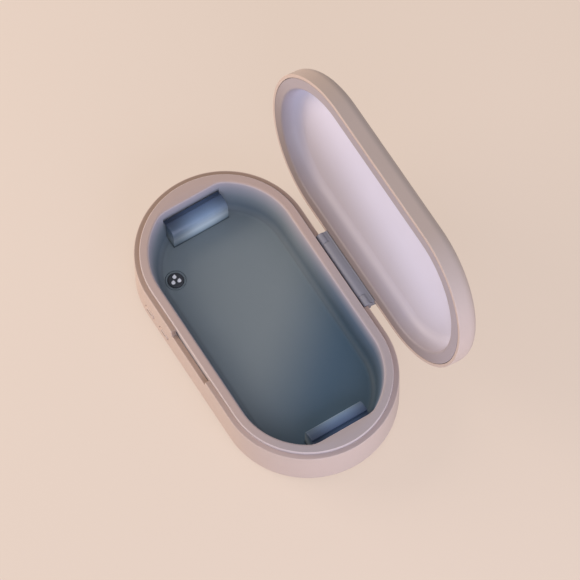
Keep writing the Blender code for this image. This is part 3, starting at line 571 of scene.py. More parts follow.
def tub_painted_light_and_shade():
    """Two ramps of painted light and shade from the floor's height to the deck's, blended by x plus nine
    tenths of y, with a painted highlight along the deck's edge.
    """
    made = plastic("tub_plastic", polish=0.66)
    tree = made.node_tree
    where = here(tree)
    level = spread(tree, numbers(tree, where)["Z"], FLOOR * MM, DECK * MM)
    left, right = (ramp(tree, level, stops) for stops in (TUB_LIGHT_AND_SHADE_LEFT, TUB_LIGHT_AND_SHADE_RIGHT))
    tone = blended(tree, slanting(tree, where, TUB_SHADE_LEAN, TUB_SHADE_FROM, TUB_SHADE_TO), left, right)
    distance = put(tree, "ShaderNodeGroup", node_tree=FROM_MIDDLE).outputs[0]
    return tinted(made, with_rim_highlight(tree, tone, distance, TUB_RIM, TUB_HIGHLIGHT_WIDTH))


tub_plastic = tub_painted_light_and_shade()

# %% [markdown]
# The lid's liner is painted with light and shade: it pales from a grey band of painted shade at its rim to
# painted light, lavender, deep in the bowl, warm and dark by the hinge and cool and light away from it. The
# lid is modelled open, so height in the scene isn't depth. Coordinates stored in the mesh could tell the
# depth, but a Mapping node that turns the lid shut again does it from the hinge's own sizes.

# %% The lid lining's plastic
# Painted shade at the liner's rim, paling to painted light deep in the bowl.
LINING_SHADE_AND_LIGHT = [
    (0.0, (0.35, 0.305, 0.32)),
    (0.06, (0.38, 0.335, 0.36)),
    (0.40, (0.46, 0.43, 0.48)),
    (0.85, (0.59, 0.57, 0.665)),
    (1.0, (0.63, 0.61, 0.71)),
]
LINING_DEEP = 46.2
LINING_LEAN, LINING_FROM, LINING_TO = (-0.2, 1.0, 0.0), 60.0, -12.0
WARM_SHADE = (0.74, 0.69, 0.63, 1)
COOL_LIGHT = (1.19, 1.20, 1.22, 1)


def lining_painted_shade():
    """A ramp of painted shade and light over the depth, times a painted tone: warm and dark by the hinge,
    cool and light away from it.
    """
    made = plastic("lining_plastic", polish=0.50)
    tree = made.node_tree
    hinge = Vector((0, PIVOT[0] * MM, PIVOT[1] * MM))
    shift = hinge - Matrix.Rotation(LID_OPEN, 3, "X") @ hinge
    turn = {"Vector": here(tree), "Location": shift, "Rotation": (LID_OPEN, 0, 0)}
    shut = put(tree, "ShaderNodeMapping", turn).outputs[0]
    depth = spread(tree, numbers(tree, shut)["Z"], LID_FOOT * MM, LINING_DEEP * MM)
    colour = ramp(tree, depth, LINING_SHADE_AND_LIGHT)
    share = slanting(tree, shut, LINING_LEAN, LINING_FROM, LINING_TO)
    tone = blended(tree, share, WARM_SHADE, COOL_LIGHT)
    shaded = put(tree, "ShaderNodeVectorMath", {0: colour, 1: tone}, operation="MULTIPLY").outputs[0]
    return tinted(made, shaded)


lining_plastic = lining_painted_shade()

# %% [markdown]
# The blue covers let a little of the lamps' light through. Real clear plastic would need every part behind
# it and many bounces of light, so its light and shade are painted in a ramp, with a faint painted glow of the
# same colour.

# %% The lamp covers' plastic
# Painted light and shade of the lamp covers, which also set their faint painted glow.
LAMP_LIGHT_AND_SHADE = [
    (0.0, (0.03, 0.05, 0.11)),
    (0.12, (0.06, 0.10, 0.19)),
    (0.38, (0.145, 0.22, 0.325)),
    (0.72, (0.46, 0.54, 0.59)),
    (0.92, (0.25, 0.33, 0.38)),
    (1.0, (0.08, 0.11, 0.135)),
]
LAMP_FROM, LAMP_TO = 118.0, 88.0
BRIGHT_AT, BRIGHT_HALF, DIM_HALF, DIMMEST = 3.0, 3.0, 22.0, 0.38
LAMP_GLOW = 0.15


def lamp_painted_light():
    """The painted light and shade are looked up along |x| plus the height, from the wall down to the foot of
    the bar.

    It is navy painted shade by the wall, painted bright light low on the front and painted shade at the foot.
    Both ends of the bar are painted darker than a spot a little behind its middle.
    """
    made = plastic("lamp_blue", polish=0.45, depth=0.1)
    tree = made.node_tree
    at = numbers(tree, here(tree))
    lower = maths(tree, "ADD", maths(tree, "ABSOLUTE", at["X"]), at["Z"])
    colour = ramp(tree, spread(tree, lower, LAMP_FROM * MM, LAMP_TO * MM), LAMP_LIGHT_AND_SHADE)
    aside = maths(tree, "ABSOLUTE", maths(tree, "SUBTRACT", at["Y"], BRIGHT_AT * MM))
    dim = spread(tree, aside, BRIGHT_HALF * MM, DIM_HALF * MM, to=(1.0, DIMMEST), soft=True)
    lit = scaled(tree, colour, dim)
    shader = tree.nodes["Principled BSDF"]
    tree.links.new(lit, shader.inputs["Emission Color"])
    shader.inputs["Emission Strength"].default_value = LAMP_GLOW
    return tinted(made, lit)


lamp_blue = lamp_painted_light()

# %% [markdown]
# Inside and under the box there are plainer finishes: grey hinge plastic, whose darker grey is painted shade,
# black rubber, brushed steel, a circuit board with its tracks, white felt, and the smoked windows of the
# buttons.

# %% The small finishes
STREAKS, STREAK_HEIGHT = (60, 6000, 6000), 0.00003
STEEL_TONES = [(0.2, (0.42, 0.42, 0.44)), (0.8, (0.62, 0.62, 0.64))]
STEEL_GLOSS = (0.25, 0.45)
BOARD, BOARD_LIGHT, TRACK = (0.03, 0.13, 0.07, 1), (0.035, 0.15, 0.08, 1), (0.06, 0.24, 0.12, 1)
TRACKS, TRACK_WIDTH = 180.0, 0.03


def streaked_steel():
    """Steel with streaks: a noise drawn out a hundredfold along X changes the tone, gloss and bump."""
    made, tree, shader = new_material("streaked_steel")
    drawn = put(tree, "ShaderNodeMapping", {"Vector": here(tree), "Scale": STREAKS}).outputs[0]
    streak = noise(tree, drawn, 1.0)
    gloss = spread(tree, streak, 0.0, 1.0, to=STEEL_GLOSS)
    bump = put(tree, "ShaderNodeBump", {"Height": streak, "Strength": 0.2, "Distance": STREAK_HEIGHT})
    dress(tree, shader, ramp(tree, streak, STEEL_TONES), gloss, bump.outputs[0])
    shader.inputs["Metallic"].default_value = 1.0
    return made


def board_green():
    """Green board in bricks of two near shades, with lighter tracks as the joints between them."""
    made = plastic("board_green", polish=0.45, depth=0.1)
    tree = made.node_tree
    given = {"Vector": here(tree), "Scale": TRACKS, "Mortar Size": TRACK_WIDTH}
    given |= {"Color1": BOARD, "Color2": BOARD_LIGHT, "Mortar": TRACK}
    return tinted(made, put(tree, "ShaderNodeTexBrick", given).outputs["Color"])


# The hinge's darker grey is painted shade.
hinge_shade_grey = plastic("hinge_shade_grey", (0.25, 0.255, 0.29), polish=0.5)
dark_plastic = plastic("dark_plastic", (0.04, 0.045, 0.052), polish=0.5)
rubber = plastic("rubber", (0.03, 0.03, 0.032), polish=0.8, grain=900.0, depth=0.5)
felt = plastic("felt", (0.93, 0.94, 0.95), polish=0.9, grain=3500.0, depth=0.8, drift=0.1)
window_smoke = plastic("window_smoke", (0.15, 0.14, 0.14), polish=0.2, depth=0.05, drift=0.03)
steel = streaked_steel()
board = board_green()
print("Finishes:", len(bpy.data.materials))

# %% [markdown]
# ## Placing a piece
#
# A finished piece gets its material, rides on the body that it moves with, and hides the CAD solid that it
# stands for. The hidden solid stays for the physics.


# %% Placing a piece
def place(piece, body, slot, material, *nodes):
    """Gives a piece its finish and its body, and hides the CAD nodes that it stands for. Its slot is not
    used.
    """
    piece.data.materials.clear()
    piece.data.materials.append(material)
    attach(piece, body)
    if nodes:
        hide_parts(*nodes)
    print(f"{piece.name}: {len(piece.data.polygons)} faces on {body}")
    return piece


# %% [markdown]
# ## The base's outer wall
#
# The outer wall is one profile carried round the stadium: wall, ledge on top, lip, the shelf that the tub
# stands on, and the flange at the foot. At the front the top drops away into a finger notch, and at the back
# into the slot for the hinge. A Boolean could cut both, but here the stations carry a drop of their own, so
# the notch keeps the wall's rounded edge and gets soft corners.

# %% Steps in the top edge
NOTCH_HALF, NOTCH_DROP = 20.0, 5.5
SLOT_HALF, SLOT_DROP = 28.5, 5.1
LEVEL_STEPS, BEND_STEPS = 7, 6


def step_side(half, drop, crest, foot, draft):
    """Places and drops along one half of a side that steps down to the middle.

    From the middle outwards the edge runs level, up round a quarter circle of radius foot, up a slanted
    wall, and over a quarter circle of radius crest onto the top.
    """
    turn = np.linspace(0, math.pi / 2, BEND_STEPS)
    level = np.linspace(0, half - foot, LEVEL_STEPS + 1)[:-1]
    x = np.concatenate([
        level,
        half - foot + foot * np.sin(turn),
        half + draft + crest * (1 - np.cos(turn)),
        np.linspace(half + draft + crest, STRAIGHT, BEND_STEPS + 2)[1:-1],
    ])
    down = np.concatenate([
        np.full(len(level), drop),
        drop - foot * (1 - np.cos(turn)),
        crest * (1 - np.sin(turn)),
        np.zeros(BEND_STEPS),
    ])
    return np.concatenate([-x[:0:-1], x]) / STRAIGHT, np.concatenate([down[:0:-1], down])


front, front_drop = step_side(NOTCH_HALF, NOTCH_DROP, crest=0.5, foot=1.2, draft=0.15)
back, back_drop = step_side(SLOT_HALF, SLOT_DROP, crest=0.3, foot=0.3, draft=0.02)
print("Stations: front", len(front), "back", len(back))

# %% The base's outer wall
WALL_FOOT, FLANGE, FLANGE_TOP, WALL_INNER = 1.0, 51.3, 3.2, 54.1
SHELF, SHELF_ROOT, SHELF_UNDER, SHELF_TOP = 51.2, 19.6, 21.8, 24.0
SLOT_RIM, RIM_STEP, STEP_ZONE = 53.6, 0.03, 28.0
FOOT_ROUND, EDGE_ROUND, FINE_ROUND = 3.0, 0.5, 0.2
WALL = [
    (END_RADIUS, LEDGE, EDGE_ROUND),
    (END_RADIUS, WALL_FOOT, FOOT_ROUND),
    (FLANGE, WALL_FOOT, FINE_ROUND),
    (FLANGE, FLANGE_TOP),
    (WALL_INNER, FLANGE_TOP),
    (WALL_INNER, SHELF_ROOT),
    (SHELF, SHELF_UNDER),
    (SHELF, SHELF_TOP),
    (LIP, SHELF_TOP),
    (LIP, LEDGE, FINE_ROUND),
    (SLOT_RIM - RIM_STEP, LEDGE),
    (SLOT_RIM + RIM_STEP, LEDGE),
]


def shell_wall():
    """Each top point is lowered by its station's drop. In the hinge slot the thin lip keeps its height."""
    radius, height = rounded(WALL).T
    rest = np.zeros(END_STEPS + 1)
    notch = np.concatenate([rest, 0 * back_drop, rest, front_drop])[:, None]
    slot = np.concatenate([rest, back_drop[::-1], rest, 0 * front_drop])[:, None]
    top = height > STEP_ZONE
    lowered = height - notch * top - slot * (top & (radius > SLOT_RIM))
    return surface("shell_wall", carried(radius, lowered, stations(front, back)))


wall = shell_wall()

# %% [markdown]
# The wall has three more openings: two capsule-shaped holes for the buttons and the mouth of the charging
# socket. Each is cut with a Boolean by a tool that widens at its mouth, which leaves a small lead-in there.

# %% Openings in the wall
BUTTON_X, BUTTON_Z = (-47.0, -30.0), 12.0
BUTTON_HALF, BUTTON_RADIUS = 2.5, 2.5
SOCKET_AT = (42.0, 12.5)
SOCKET_HALF, SOCKET_RADIUS = 2.9, 1.6
OPENING_GAP, LEAD_IN, CORE = 0.3, 0.3, 0.05
TOOL_FROM, TOOL_TO = 50.0, 60.0
CAPSULE_STEPS = 14


def facing_wall(name, corners, straight, at, outward, closed_profile=True):
    """A capsule or ring whose axis runs through the wall.

    Corners are (radius, depth). The carried profile is laid on its side: its height becomes the depth
    along Y, times -1 for the front wall and 1 for the back wall, and its y becomes the height.
    """
    radius, depth = rounded(corners, guard=FINE_GUARD).T
    local = carried(radius, depth, stations(SIDE[::3], SIDE[::3], CAPSULE_STEPS), straight)
    points = np.stack([local[..., 0] + at[0], outward * local[..., 2], local[..., 1] + at[1]], axis=-1)
    return surface(name, points, closed_profile)


def mouth(name, straight, radius, at, outward):
    """The tool: a capsule wider than the part by a gap, which flares by the lead-in over its last stretch."""
    wide = radius + OPENING_GAP
    flared = wide + LEAD_IN + CORE
    corners = [
        (CORE, TOOL_FROM),
        (wide, TOOL_FROM),
        (wide, END_RADIUS - LEAD_IN),
        (flared, END_RADIUS + CORE),
        (flared, TOOL_TO),
        (CORE, TOOL_TO),
    ]
    return facing_wall(name, corners, straight, at, outward, closed_profile=False)


carve(
    wall,
    *[mouth("button_mouth", BUTTON_HALF, BUTTON_RADIUS, (x, BUTTON_Z), -1) for x in BUTTON_X],
    mouth("socket_mouth", SOCKET_HALF, SOCKET_RADIUS, SOCKET_AT, 1),
)
place(wall, "base", "shell", wall_plastic, "base_shell")

# %% [markdown]
# ## The tub
#
# Deck and tub are one moulding: a flat deck one step above the ledge, a soft lip, a drafted wall that lets
# the mould slide out, a generous round at the floor, and the floor. Both ends of the hollow are cut off
# straight to make room for the lamps. The profile is carried round as before, and each point beyond the
# straight end is drawn back onto it by a soft minimum, which also rounds the corner between the two.

# %% The tub's surface
FLOOR_FLAT, FLOOR_UNDER, FLOOR_ROUND = 20.0, 8.2, 5.0
OUTER_FOOT, OUTER_ROOT, DECK_UNDER = 43.5, 49.0, 31.5
SKIRT_INNER, SKIRT_FOOT, SKIRT_NECK, NECK_TOP = 51.3, 24.3, 52.6, 31.0
SKIRT, NECK_END, DECK_ROUND = 52.93, 31.4, 0.4
HOLLOW_TOP, HOLLOW_FOOT, HOLLOW_ROUND, HOLLOW_LIMIT = 47.45, 41.7, 1.5, 50.0
CORNER_BLEND = 1.8
TUB = [
    (FLOOR_FLAT, FLOOR_UNDER),
    (OUTER_FOOT, FLOOR_UNDER, FLOOR_ROUND),
    (OUTER_ROOT, DECK_UNDER),
    (SKIRT_INNER, DECK_UNDER),
    (SKIRT_INNER, SKIRT_FOOT),
    (SKIRT_NECK, SKIRT_FOOT, FINE_ROUND),
    (SKIRT_NECK, NECK_TOP),
    (SKIRT, NECK_END),
    (SKIRT, DECK, DECK_ROUND),
    (HOLLOW_TOP, DECK, HOLLOW_ROUND),
    (HOLLOW_FOOT, FLOOR, FLOOR_ROUND),
    (FLOOR_FLAT, FLOOR),
]


def soft_minimum(a, b, width):
    """The smaller of two numbers, with the kink where they are equal smoothed over a width."""
    nearness = np.maximum(width - np.abs(a - b), 0)
    return np.minimum(a, b) - nearness**2 / (4 * width)


def tub_surface():
    """In the hollow, |x| is the soft minimum of its own value and of radius plus the chord's shift."""
    radius, height = rounded(TUB).T
    points = carried(radius, height, stations())
    hollow = np.arange(len(radius)) > np.argmax(radius) + 2 * ARC_STEPS
    hollow &= radius < HOLLOW_LIMIT
    cut_back = soft_minimum(np.abs(points[..., 0]), radius + CHORD_SHIFT, CORNER_BLEND)
    points[..., 0] = np.where(hollow, np.sign(points[..., 0]) * cut_back, points[..., 0])
    return surface("tub", points, closed_profile=False)


tub = tub_surface()
print("Tub:", len(tub.data.polygons), "faces before its openings")


# %% Cutting tools
TOOL_EDGE = 0.01


def brick(name, low, high, edge=TOOL_EDGE, steps=1):
    """A box between two corners, drawn along X."""
    outline = np.array([(low[1], low[2]), (high[1], low[2]), (high[1], high[2]), (low[1], high[2])], float)
    return bar(name, outline, low[0], high[0], edge, steps=steps)


def peg(name, radius, low, high, at):
    """A plain cylinder along Z."""
    return turned(name, [(0, low), (radius, low), (radius, high), (0, high)], at)


# %% Openings in the tub
LAMP_FRONT, LAMP_BACK, LAMP_FOOT, LAMP_TOP, LAMP_HALF = 78.0, 87.0, 9.6, 28.0, 20.0
LAMP_FLANGE, FLANGE_LOW, FLANGE_HIGH = 90.2, 25.0, 26.0
POCKET_GAP, POCKET_END, POCKET_DEEP = 0.3, 0.4, 0.9
SEAT_RADIUS, HOLE_RADIUS, SEAT_FLOOR, HOLE_FOOT, HOLE_TOP = 6.8, 5.3, 8.8, 4.0, 13.0


def lamp_pockets():
    """For each lamp, a pocket for the bar with a shallow step behind it for the flange."""
    front_x, back_x, deep_x = LAMP_FRONT - POCKET_GAP, LAMP_BACK + POCKET_GAP, LAMP_FLANGE + POCKET_DEEP
    low, step, high = LAMP_FOOT - POCKET_GAP, FLANGE_LOW - POCKET_GAP, LAMP_TOP + POCKET_DEEP
    outline = [(front_x, low), (back_x, low), (back_x, step), (deep_x, step), (deep_x, high), (front_x, high)]
    reach = LAMP_HALF + POCKET_END
    sides = (np.array(outline) * (side, 1) for side in (-1, 1))
    return [bar("pocket", mirrored, -reach, reach, TOOL_EDGE, (1, 0, 2), 1) for mirrored in sides]


carve(
    tub,
    *lamp_pockets(),
    peg("seat", SEAT_RADIUS, SEAT_FLOOR, HOLE_TOP, AROMA_AT),
    peg("hole", HOLE_RADIUS, HOLE_FOOT, HOLE_TOP, AROMA_AT),
)
place(tub, "base", "tub", tub_plastic, "deck_tub")

# %% [markdown]
# ## The lamp covers
#
# At each end a clear blue bar covers a row of UV lamps. Its front top edge is rounded, and a thin flange
# behind it tucks into the wall, which leaves the fine dark line above it. The bar is its section drawn along
# Y with rounded ends, and a Boolean hollows it from behind.

# %% The lamp covers
LAMP_WALL, LAMP_OPEN, HOLLOW_LOW, HOLLOW_HIGH, LAMP_EDGE = 1.0, 0.8, 10.6, 24.6, 0.4
LAMP = [
    (LAMP_FRONT, LAMP_FOOT, 0.3),
    (LAMP_FRONT, LAMP_TOP, 5.5),
    (LAMP_BACK, LAMP_TOP, 0.6),
    (LAMP_BACK, FLANGE_HIGH),
    (LAMP_FLANGE, FLANGE_HIGH),
    (LAMP_FLANGE, FLANGE_LOW),
    (LAMP_BACK, FLANGE_LOW),
    (LAMP_BACK, LAMP_FOOT),
]

for side, label in ((-1, "left"), (1, "right")):
    section = rounded([(side * x, *rest) for x, *rest in LAMP])
    cover = bar(f"lamp_bar_{label}", section, -LAMP_HALF, LAMP_HALF, LAMP_EDGE, axes=(1, 0, 2))
    low, high = sorted((side * (LAMP_FRONT + LAMP_WALL), side * (LAMP_BACK + LAMP_OPEN)))
    reach = LAMP_HALF - LAMP_WALL
    carve(cover, brick("hollow", (low, -reach, HOLLOW_LOW), (high, reach, HOLLOW_HIGH)))
    place(cover, "base", "lamp", lamp_blue, f"lamp_cover_{label}")

# %% [markdown]
# ## The aroma port
#
# Scent goes onto a felt pad in a small cup in the floor. A dark cap with three drop-shaped holes closes the
# cup and lifts out. Ring, cap, cup and pad are turned round one axis. A drop is a circle whose quarter
# towards the tip is drawn out to a right angle, and the felt stands up into the holes.

# %% Drops
DROP_RADIUS, DROP_PITCH, DROP_GAP, DROP_EDGE = 1.35, 2.3, 0.08, 0.08
DROP_FROM, CUT_TOP, TUFT_TOP = 8.0, 12.0, 10.52
DROP_TIP = math.radians(148)
DROP_ANGLES = np.radians([50, 170, 290])
DROP_STEPS = 40


def drops(name, radius, top):
    """Three drops: near its tip a side stands off its circle by root 2 over cosine plus sine of the angle."""
    angle = np.linspace(0, math.tau, DROP_STEPS, endpoint=False)
    off = np.abs(np.remainder(angle - DROP_TIP + math.pi, math.tau) - math.pi)
    reach = np.where(off < math.pi / 4, math.sqrt(2) / (np.cos(off) + np.sin(off)), 1.0) * radius
    centres = np.array(AROMA_AT) + DROP_PITCH * circle(DROP_ANGLES)
    outlines = (centre + reach[:, None] * circle(angle) for centre in centres)
    return [bar(name, outline, DROP_FROM, top, DROP_EDGE, axes=(2, 0, 1), steps=2) for outline in outlines]


# %% Ring, cup, cap and pad
RING = [(5.3, 9.1), (6.5, 9.1), (6.5, 10.15, 0.25), (5.3, 9.85, 0.2)]
CUP = [(0, 4.3), (6.8, 4.3), (6.8, 8.1), (5.3, 8.1), (5.3, 4.9), (0, 4.9)]
CAP = [(0, 9.1), (5.0, 9.1, 0.2), (5.0, 10.6, 0.45), (0, 10.6)]
PAD = [(0, 5.2), (4.7, 5.2, 0.3), (4.7, 8.5, 0.5), (0, 8.5)]

ring = turned("aroma_seat", RING, AROMA_AT, closed_profile=True)
place(ring, "base", "tub", tub_plastic, "aroma_ring")
place(turned("aroma_cup", CUP, AROMA_AT), "base", "tub", tub_plastic)
cap = turned("scent_lid", CAP, AROMA_AT)
carve(cap, *drops("hole", DROP_RADIUS, CUT_TOP))
place(cap, "scent_cap", "dark", dark_plastic, "aroma_cap")
pad = turned("scent_felt", PAD, AROMA_AT)
carve(pad, *drops("tuft", DROP_RADIUS - DROP_GAP, TUFT_TOP), operation="UNION")
place(pad, "base", "pad", felt, "aroma_pad")

# %% [markdown]
# ## The lid
#
# The lid is an outer bowl with a liner snapped into it. A fine dark gap runs between the two. Both are
# worked out closed, as they come from the mould, and turned open about the hinge.

# %% The lid's outer bowl and its liner
TOP_FLAT, LID_STEPS = 20.0, 10
BOWL = [
    (TOP_FLAT, LID_TOP),
    (END_RADIUS, LID_TOP, 7.0),
    (END_RADIUS, LID_FOOT, 0.5),
    (54.3, LID_FOOT, 0.2),
    (54.3, 47.8, 4.8),
    (TOP_FLAT, 47.8),
]
LINING = [
    (TOP_FLAT, 47.5),
    (45.1, 47.5, 8.0),
    (47.9, 36.2),
    (54.0, 36.2),
    (54.0, LID_FOOT, 0.25),
    (46.6, LID_FOOT, 1.8),
    (43.7, 46.1, 6.6),
    (TOP_FLAT, 46.1),
]
LEAF_SLOT = (-25.3, 51.7, 36.2), (25.3, 60.0, 38.5)


def open_up(piece):
    """Turns a closed piece back about the hinge's axis by the lid's opening angle."""
    about = Matrix.Translation((0, PIVOT[0] * MM, PIVOT[1] * MM))
    piece.data.transform(about @ Matrix.Rotation(-LID_OPEN, 4, "X") @ about.inverted())
    return piece


def lid_half(name, corners):
    """A profile of the closed lid carried round the stadium."""
    radius, height = rounded(corners, steps=LID_STEPS).T
    return surface(name, carried(radius, height, stations()), closed_profile=False)


bowl = carve(lid_half("lid_bowl", BOWL), brick("leaf_slot", *LEAF_SLOT))
place(open_up(bowl), "lid", "shell", shell_plastic, "lid_outer_shell")
place(open_up(lid_half("lid_lining", LINING)), "lid", "shell", lining_plastic, "lid_liner")

# %% [markdown]
# ## The hinge
#
# Three knuckles stand in line on a steel rod, in a grey that is painted shade. The outer two belong to the
# base, and the middle one to the leaf that is screwed inside the lid. Its heel meets the wall when the lid is
# open and holds it there, and runs on over the outer knuckles as a thin cover, so that the hinge looks like
# one bar. Each is a section (y, z) drawn along the rod, with its rims rounded.

# %% The hinge's sections
BARREL, COVER_GAP, ROD_HOLE, ROD_STEPS = 3.1, 0.25, 1.4, 24
MIDDLE_HALF, COVER_FROM, LEAF_HALF, TONGUE_HALF = 21.1, 20.9, 28.2, 25.0
KNUCKLE_FROM, KNUCKLE_TO = 21.22, 28.46
ROD_FROM, ROD_MIDDLE, ROD_TO = 20.0, 22.0, 27.3
KNUCKLE_EDGE, LEAF_EDGE, TONGUE_EDGE, HOLE_EDGE = 0.25, 0.12, 0.1, 0.05
WEB = [(53.95, 30.4), (53.95, 26.95), (57.0, 26.95)]
HEEL_START = (60.1, 31.2)
HEEL = [(62.0, 31.2, 0.5), (62.0, 33.4, 0.5), (59.7, 33.4), (59.7, 34.2), (53.9, 34.2)]
PLATE = [
    (53.3, 33.9, 0.15),
    (60.1, 33.9, 0.3),
    (60.1, 38.2, 0.5),
    (57.1, 38.2),
    (57.1, 36.4),
    (56.8, 36.2),
    (56.8, 34.5),
    (53.3, 34.5, 0.15),
]
TONGUE = np.array([(49.0, 36.5), (57.6, 36.5), (57.6, 38.1), (49.0, 38.1)])


def barrel(start, end, radius=BARREL):
    """Points of an arc about the hinge's axis, from one angle to another, in degrees."""
    return PIVOT + radius * circle(np.radians(np.linspace(start, end, ROD_STEPS)))


def rod_hole(start, end):
    """The tool for the rod's hole: a circle drawn along X."""
    outline = PIVOT + ROD_HOLE * circle(np.linspace(0, math.tau, ROD_STEPS, endpoint=False))
    return bar("rod_hole", outline, start, end, HOLE_EDGE, steps=1)


# %% The knuckles and the leaf
def base_knuckles():
    """A round barrel on a square web, once at each side."""
    outline = np.concatenate([WEB, barrel(-90, 178)])
    for side, label in ((-1, "left"), (1, "right")):
        low, high = sorted((side * KNUCKLE_FROM, side * KNUCKLE_TO))
        knuckle = bar(f"knuckle_{label}", outline, low, high, KNUCKLE_EDGE)
        carve(knuckle, rod_hole(*sorted((side * ROD_FROM, side * ROD_TO))))
        place(knuckle, "base", "hinge", hinge_shade_grey)


def leaf():
    """Plate, tongue, middle knuckle and the cover over both outer knuckles, joined into one."""
    heel = rounded(HEEL)
    knuckle = np.concatenate([barrel(-180, -2), [HEEL_START], heel])
    cover = np.concatenate([barrel(160, 14, BARREL + COVER_GAP), heel])
    plate = bar("lid_leaf", rounded(PLATE, guard=FINE_GUARD), -LEAF_HALF, LEAF_HALF, LEAF_EDGE)
    carve(
        plate,
        bar("tongue", TONGUE, -TONGUE_HALF, TONGUE_HALF, TONGUE_EDGE),
        bar("middle_knuckle", knuckle, -MIDDLE_HALF, MIDDLE_HALF, KNUCKLE_EDGE),
        bar("cover", cover, -LEAF_HALF, -COVER_FROM, LEAF_EDGE),
        bar("cover", cover, COVER_FROM, LEAF_HALF, LEAF_EDGE),
        operation="UNION",
    )
    carve(plate, rod_hole(-ROD_MIDDLE, ROD_MIDDLE))
    place(open_up(plate), "lid", "hinge", hinge_shade_grey, "hinge_leaf")


base_knuckles()
leaf()

# %% [markdown]
# ## The buttons
#
# Two capsule-shaped caps stand half a millimetre proud of the front wall. Each has a slim window along its
# middle for a light, and a flange behind the wall that keeps it in. Cap and window are rings and capsules
# carried round a small stadium whose axis points at the front.

# %% The buttons
FACE = END_RADIUS + 0.5
CAP_STRAIGHT, CAP_CORE, CAP_DISH, CAP_ROUND = 2.2, 0.68, 0.12, 0.55
CAP_FLANGE, CAP_STOP, CAP_BACK = BUTTON_RADIUS + 0.9, 53.8, 52.8
WINDOW_STRAIGHT, WINDOW_RADIUS, WINDOW_BACK = 2.0, 0.5, 54.4
BUTTON_CAP = [
    (CAP_CORE, FACE - CAP_DISH, 0.1),
    (BUTTON_RADIUS, FACE, CAP_ROUND),
    (BUTTON_RADIUS, CAP_STOP),
    (CAP_FLANGE, CAP_STOP),
    (CAP_FLANGE, CAP_BACK),
    (CAP_CORE, CAP_BACK),
]
WINDOW = [(CORE, WINDOW_BACK), (WINDOW_RADIUS, WINDOW_BACK), (WINDOW_RADIUS, FACE - CORE, 0.2), (CORE, FACE)]

for x, label in zip(BUTTON_X, ("left", "right")):
    at, body = (x, BUTTON_Z), f"{label}_button"
    push = facing_wall(f"push_cap_{label}", BUTTON_CAP, CAP_STRAIGHT, at, -1)
    place(push, body, "shell", shell_plastic, f"button_{label}")
    light = facing_wall(f"push_light_{label}", WINDOW, WINDOW_STRAIGHT, at, -1, closed_profile=False)
    place(light, body, "window", window_smoke, f"button_light_{label}")

# %% [markdown]
# ## The charging socket
#
# Power comes in through a small socket in the back wall: a drawn steel sleeve with a dark tongue in it. The
# sleeve is a ring with a closed back, carried round a small stadium as the buttons are.

# %% The charging socket
SOCKET_FACE = END_RADIUS - 1.2
SLEEVE_BACK, SLEEVE_FLOOR = SOCKET_FACE - 7.0, SOCKET_FACE - 6.5
SLEEVE_INNER, SLEEVE_CORE, SLEEVE_ROUND = SOCKET_RADIUS - 0.3, 0.1, 0.12
SLEEVE = [
    (SOCKET_RADIUS, SOCKET_FACE, SLEEVE_ROUND),
    (SOCKET_RADIUS, SLEEVE_BACK, 0.3),
    (SLEEVE_CORE, SLEEVE_BACK),
    (SLEEVE_CORE, SLEEVE_FLOOR),
    (SLEEVE_INNER, SLEEVE_FLOOR),
    (SLEEVE_INNER, SOCKET_FACE, SLEEVE_ROUND),
]
TONGUE_LOW = (SOCKET_AT[0] - 3.3, SOCKET_FACE - 6.6, SOCKET_AT[1] - 0.35)
TONGUE_HIGH = (SOCKET_AT[0] + 3.3, SOCKET_FACE - 1.0, SOCKET_AT[1] + 0.35)

sleeve = facing_wall("socket_sleeve", SLEEVE, SOCKET_HALF, SOCKET_AT, 1)
place(sleeve, "base", "steel", steel, "charging_socket")
inner = brick("socket_tongue", TONGUE_LOW, TONGUE_HIGH, edge=0.15, steps=4)
place(inner, "base", "dark", dark_plastic)

# %% [markdown]
# ## Feet and screws
#
# Under the box four rubber feet sit in shallow seats, and four cross-head screws hold everything together.
# Both are turned, and two bricks cut the cross out of a screw's head.

# %% Feet and screws
FOOT_AT, SCREW_AT = (70.0, 30.0), (40.0, 34.0)
FOOT = [(0, 0.15), (3.6, 0.15, 0.2), (4.1, 0.4, 0.2), (4.5, 0.0, 0.2), (6.0, 0.0, 0.5), (6.0, 1.6), (0, 1.6)]
SCREW = [(0, 1.0), (1.6, 1.0, 0.3), (2.4, 1.45, 0.2), (2.4, 2.0), (1.2, 2.0), (1.2, 7.9, 0.3), (0, 7.9)]
CROSS, CROSS_FROM, CROSS_TO = ((1.3, 0.28), (0.28, 1.3)), 0.5, 1.7


def four(at):
    """The four mirrored places of a point, with their names."""
    x, y = at
    return (("front_left", -x, -y), ("front_right", x, -y), ("back_left", -x, y), ("back_right", x, y))


for label, x, y in four(FOOT_AT):
    place(turned(f"rubber_{label}", FOOT, (x, y)), "base", "rubber", rubber, f"foot_{label}")
for label, x, y in four(SCREW_AT):
    screw = turned(f"screw_{label}", SCREW, (x, y))
    slots = [brick("slot", (x - dx, y - dy, CROSS_FROM), (x + dx, y + dy, CROSS_TO)) for dx, dy in CROSS]
    carve(screw, *slots)
    place(screw, "base", "steel", steel, f"base_screw_{label}")

# %% [markdown]
# ## The CAD solids that stay
#
# The flat bottom plate, the boards, switches, magnets and wires already have the right shape. They keep their
# CAD meshes and only get a better finish.

# %% The CAD solids that stay
KEPT = [
    (shell_plastic, ("bottom_plate",)),
    (steel, ("hinge_rod", "leaf_screw", "base_magnet", "lid_magnet")),
    (board, ("main_board", "button_board", "uv_board")),
    (dark_plastic, ("button_switch", "lid_sensor", "lamp_wire")),
]

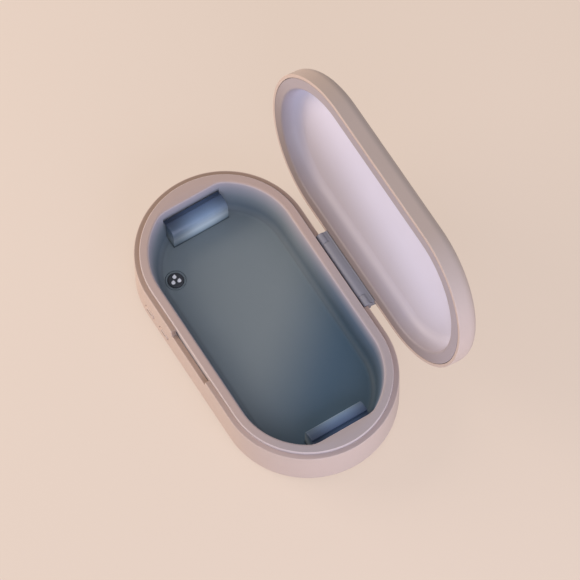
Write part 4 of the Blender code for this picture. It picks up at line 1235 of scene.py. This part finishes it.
for material, starts in KEPT:
    nodes = [node for name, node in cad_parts.items() if name.startswith(starts)]
    for node in nodes:
        node.data.materials.clear()
        node.data.materials.append(material)
    print(material.name, "on", len(nodes), "CAD nodes")

# %% [markdown]
# ## Floor and light
#
# A plain pale floor, a warm lamp from the left front and a cool one from the right, as soft as a studio's.
# The floor has to look paler than these lamps make it, so it also glows a little where it is seen.

# %% Floor and light
PAPER, PAPER_ROUGH = (0.80, 0.70, 0.64, 1), 0.9
PAPER_SEEN = (0.80, 0.64, 0.53, 1)
PAPER_GLOW = 0.75
FLOOR_HALF = 6.0
SKY, SKY_STRENGTH = (0.95, 0.95, 1, 1), 0.4


def make_floor():
    """One square sheet. Seen directly or in a reflection, it is mixed with a share of its own glow."""
    corners = [(x * FLOOR_HALF, y * FLOOR_HALF, 0) for x, y in ((-1, -1), (1, -1), (1, 1), (-1, 1))]
    mesh = bpy.data.meshes.new("floor")
    mesh.from_pydata(corners, [], [(0, 1, 2, 3)])
    floor = shown("floor", mesh)
    paper, tree, shader = new_material("floor")
    shader.inputs["Base Color"].default_value = PAPER
    shader.inputs["Roughness"].default_value = PAPER_ROUGH
    ray = put(tree, "ShaderNodeLightPath").outputs
    seen = maths(tree, "MAXIMUM", ray["Is Camera Ray"], ray["Is Glossy Ray"])
    seen = maths(tree, "MAXIMUM", seen, ray["Is Transmission Ray"])
    share = maths(tree, "MULTIPLY", seen, PAPER_GLOW)
    pale = put(tree, "ShaderNodeEmission", {"Color": PAPER_SEEN, "Strength": 1.0})
    mixed = put(tree, "ShaderNodeMixShader", {0: share, 1: shader.outputs[0], 2: pale.outputs[0]})
    tree.links.new(mixed.outputs[0], tree.nodes["Material Output"].inputs["Surface"])
    mesh.materials.append(paper)


def lamp(name, at, size, power, colour):
    """A square area lamp that looks at the origin."""
    light = bpy.data.lights.new(name, "AREA")
    light.size, light.energy, light.color = size, power, colour
    made = shown(name, light)
    made.location = at
    made.rotation_euler = (-Vector(at)).to_track_quat("-Z", "Y").to_euler()


def make_world():
    """An even, faintly blue sky that fills the shadows."""
    world = bpy.data.worlds.new("world")
    bpy.context.scene.world = world
    world.use_nodes = True
    sky = world.node_tree.nodes["Background"]
    sky.inputs["Color"].default_value = SKY
    sky.inputs["Strength"].default_value = SKY_STRENGTH


make_floor()
lamp("key", at=(-0.62, -0.56, 0.46), size=0.6, power=6.6, colour=(1, 0.82, 0.68))
lamp("fill", at=(0.80, -0.10, 0.45), size=0.7, power=6.0, colour=(0.77, 0.79, 1))
make_world()
bpy.context.scene.view_settings.view_transform = "Standard"
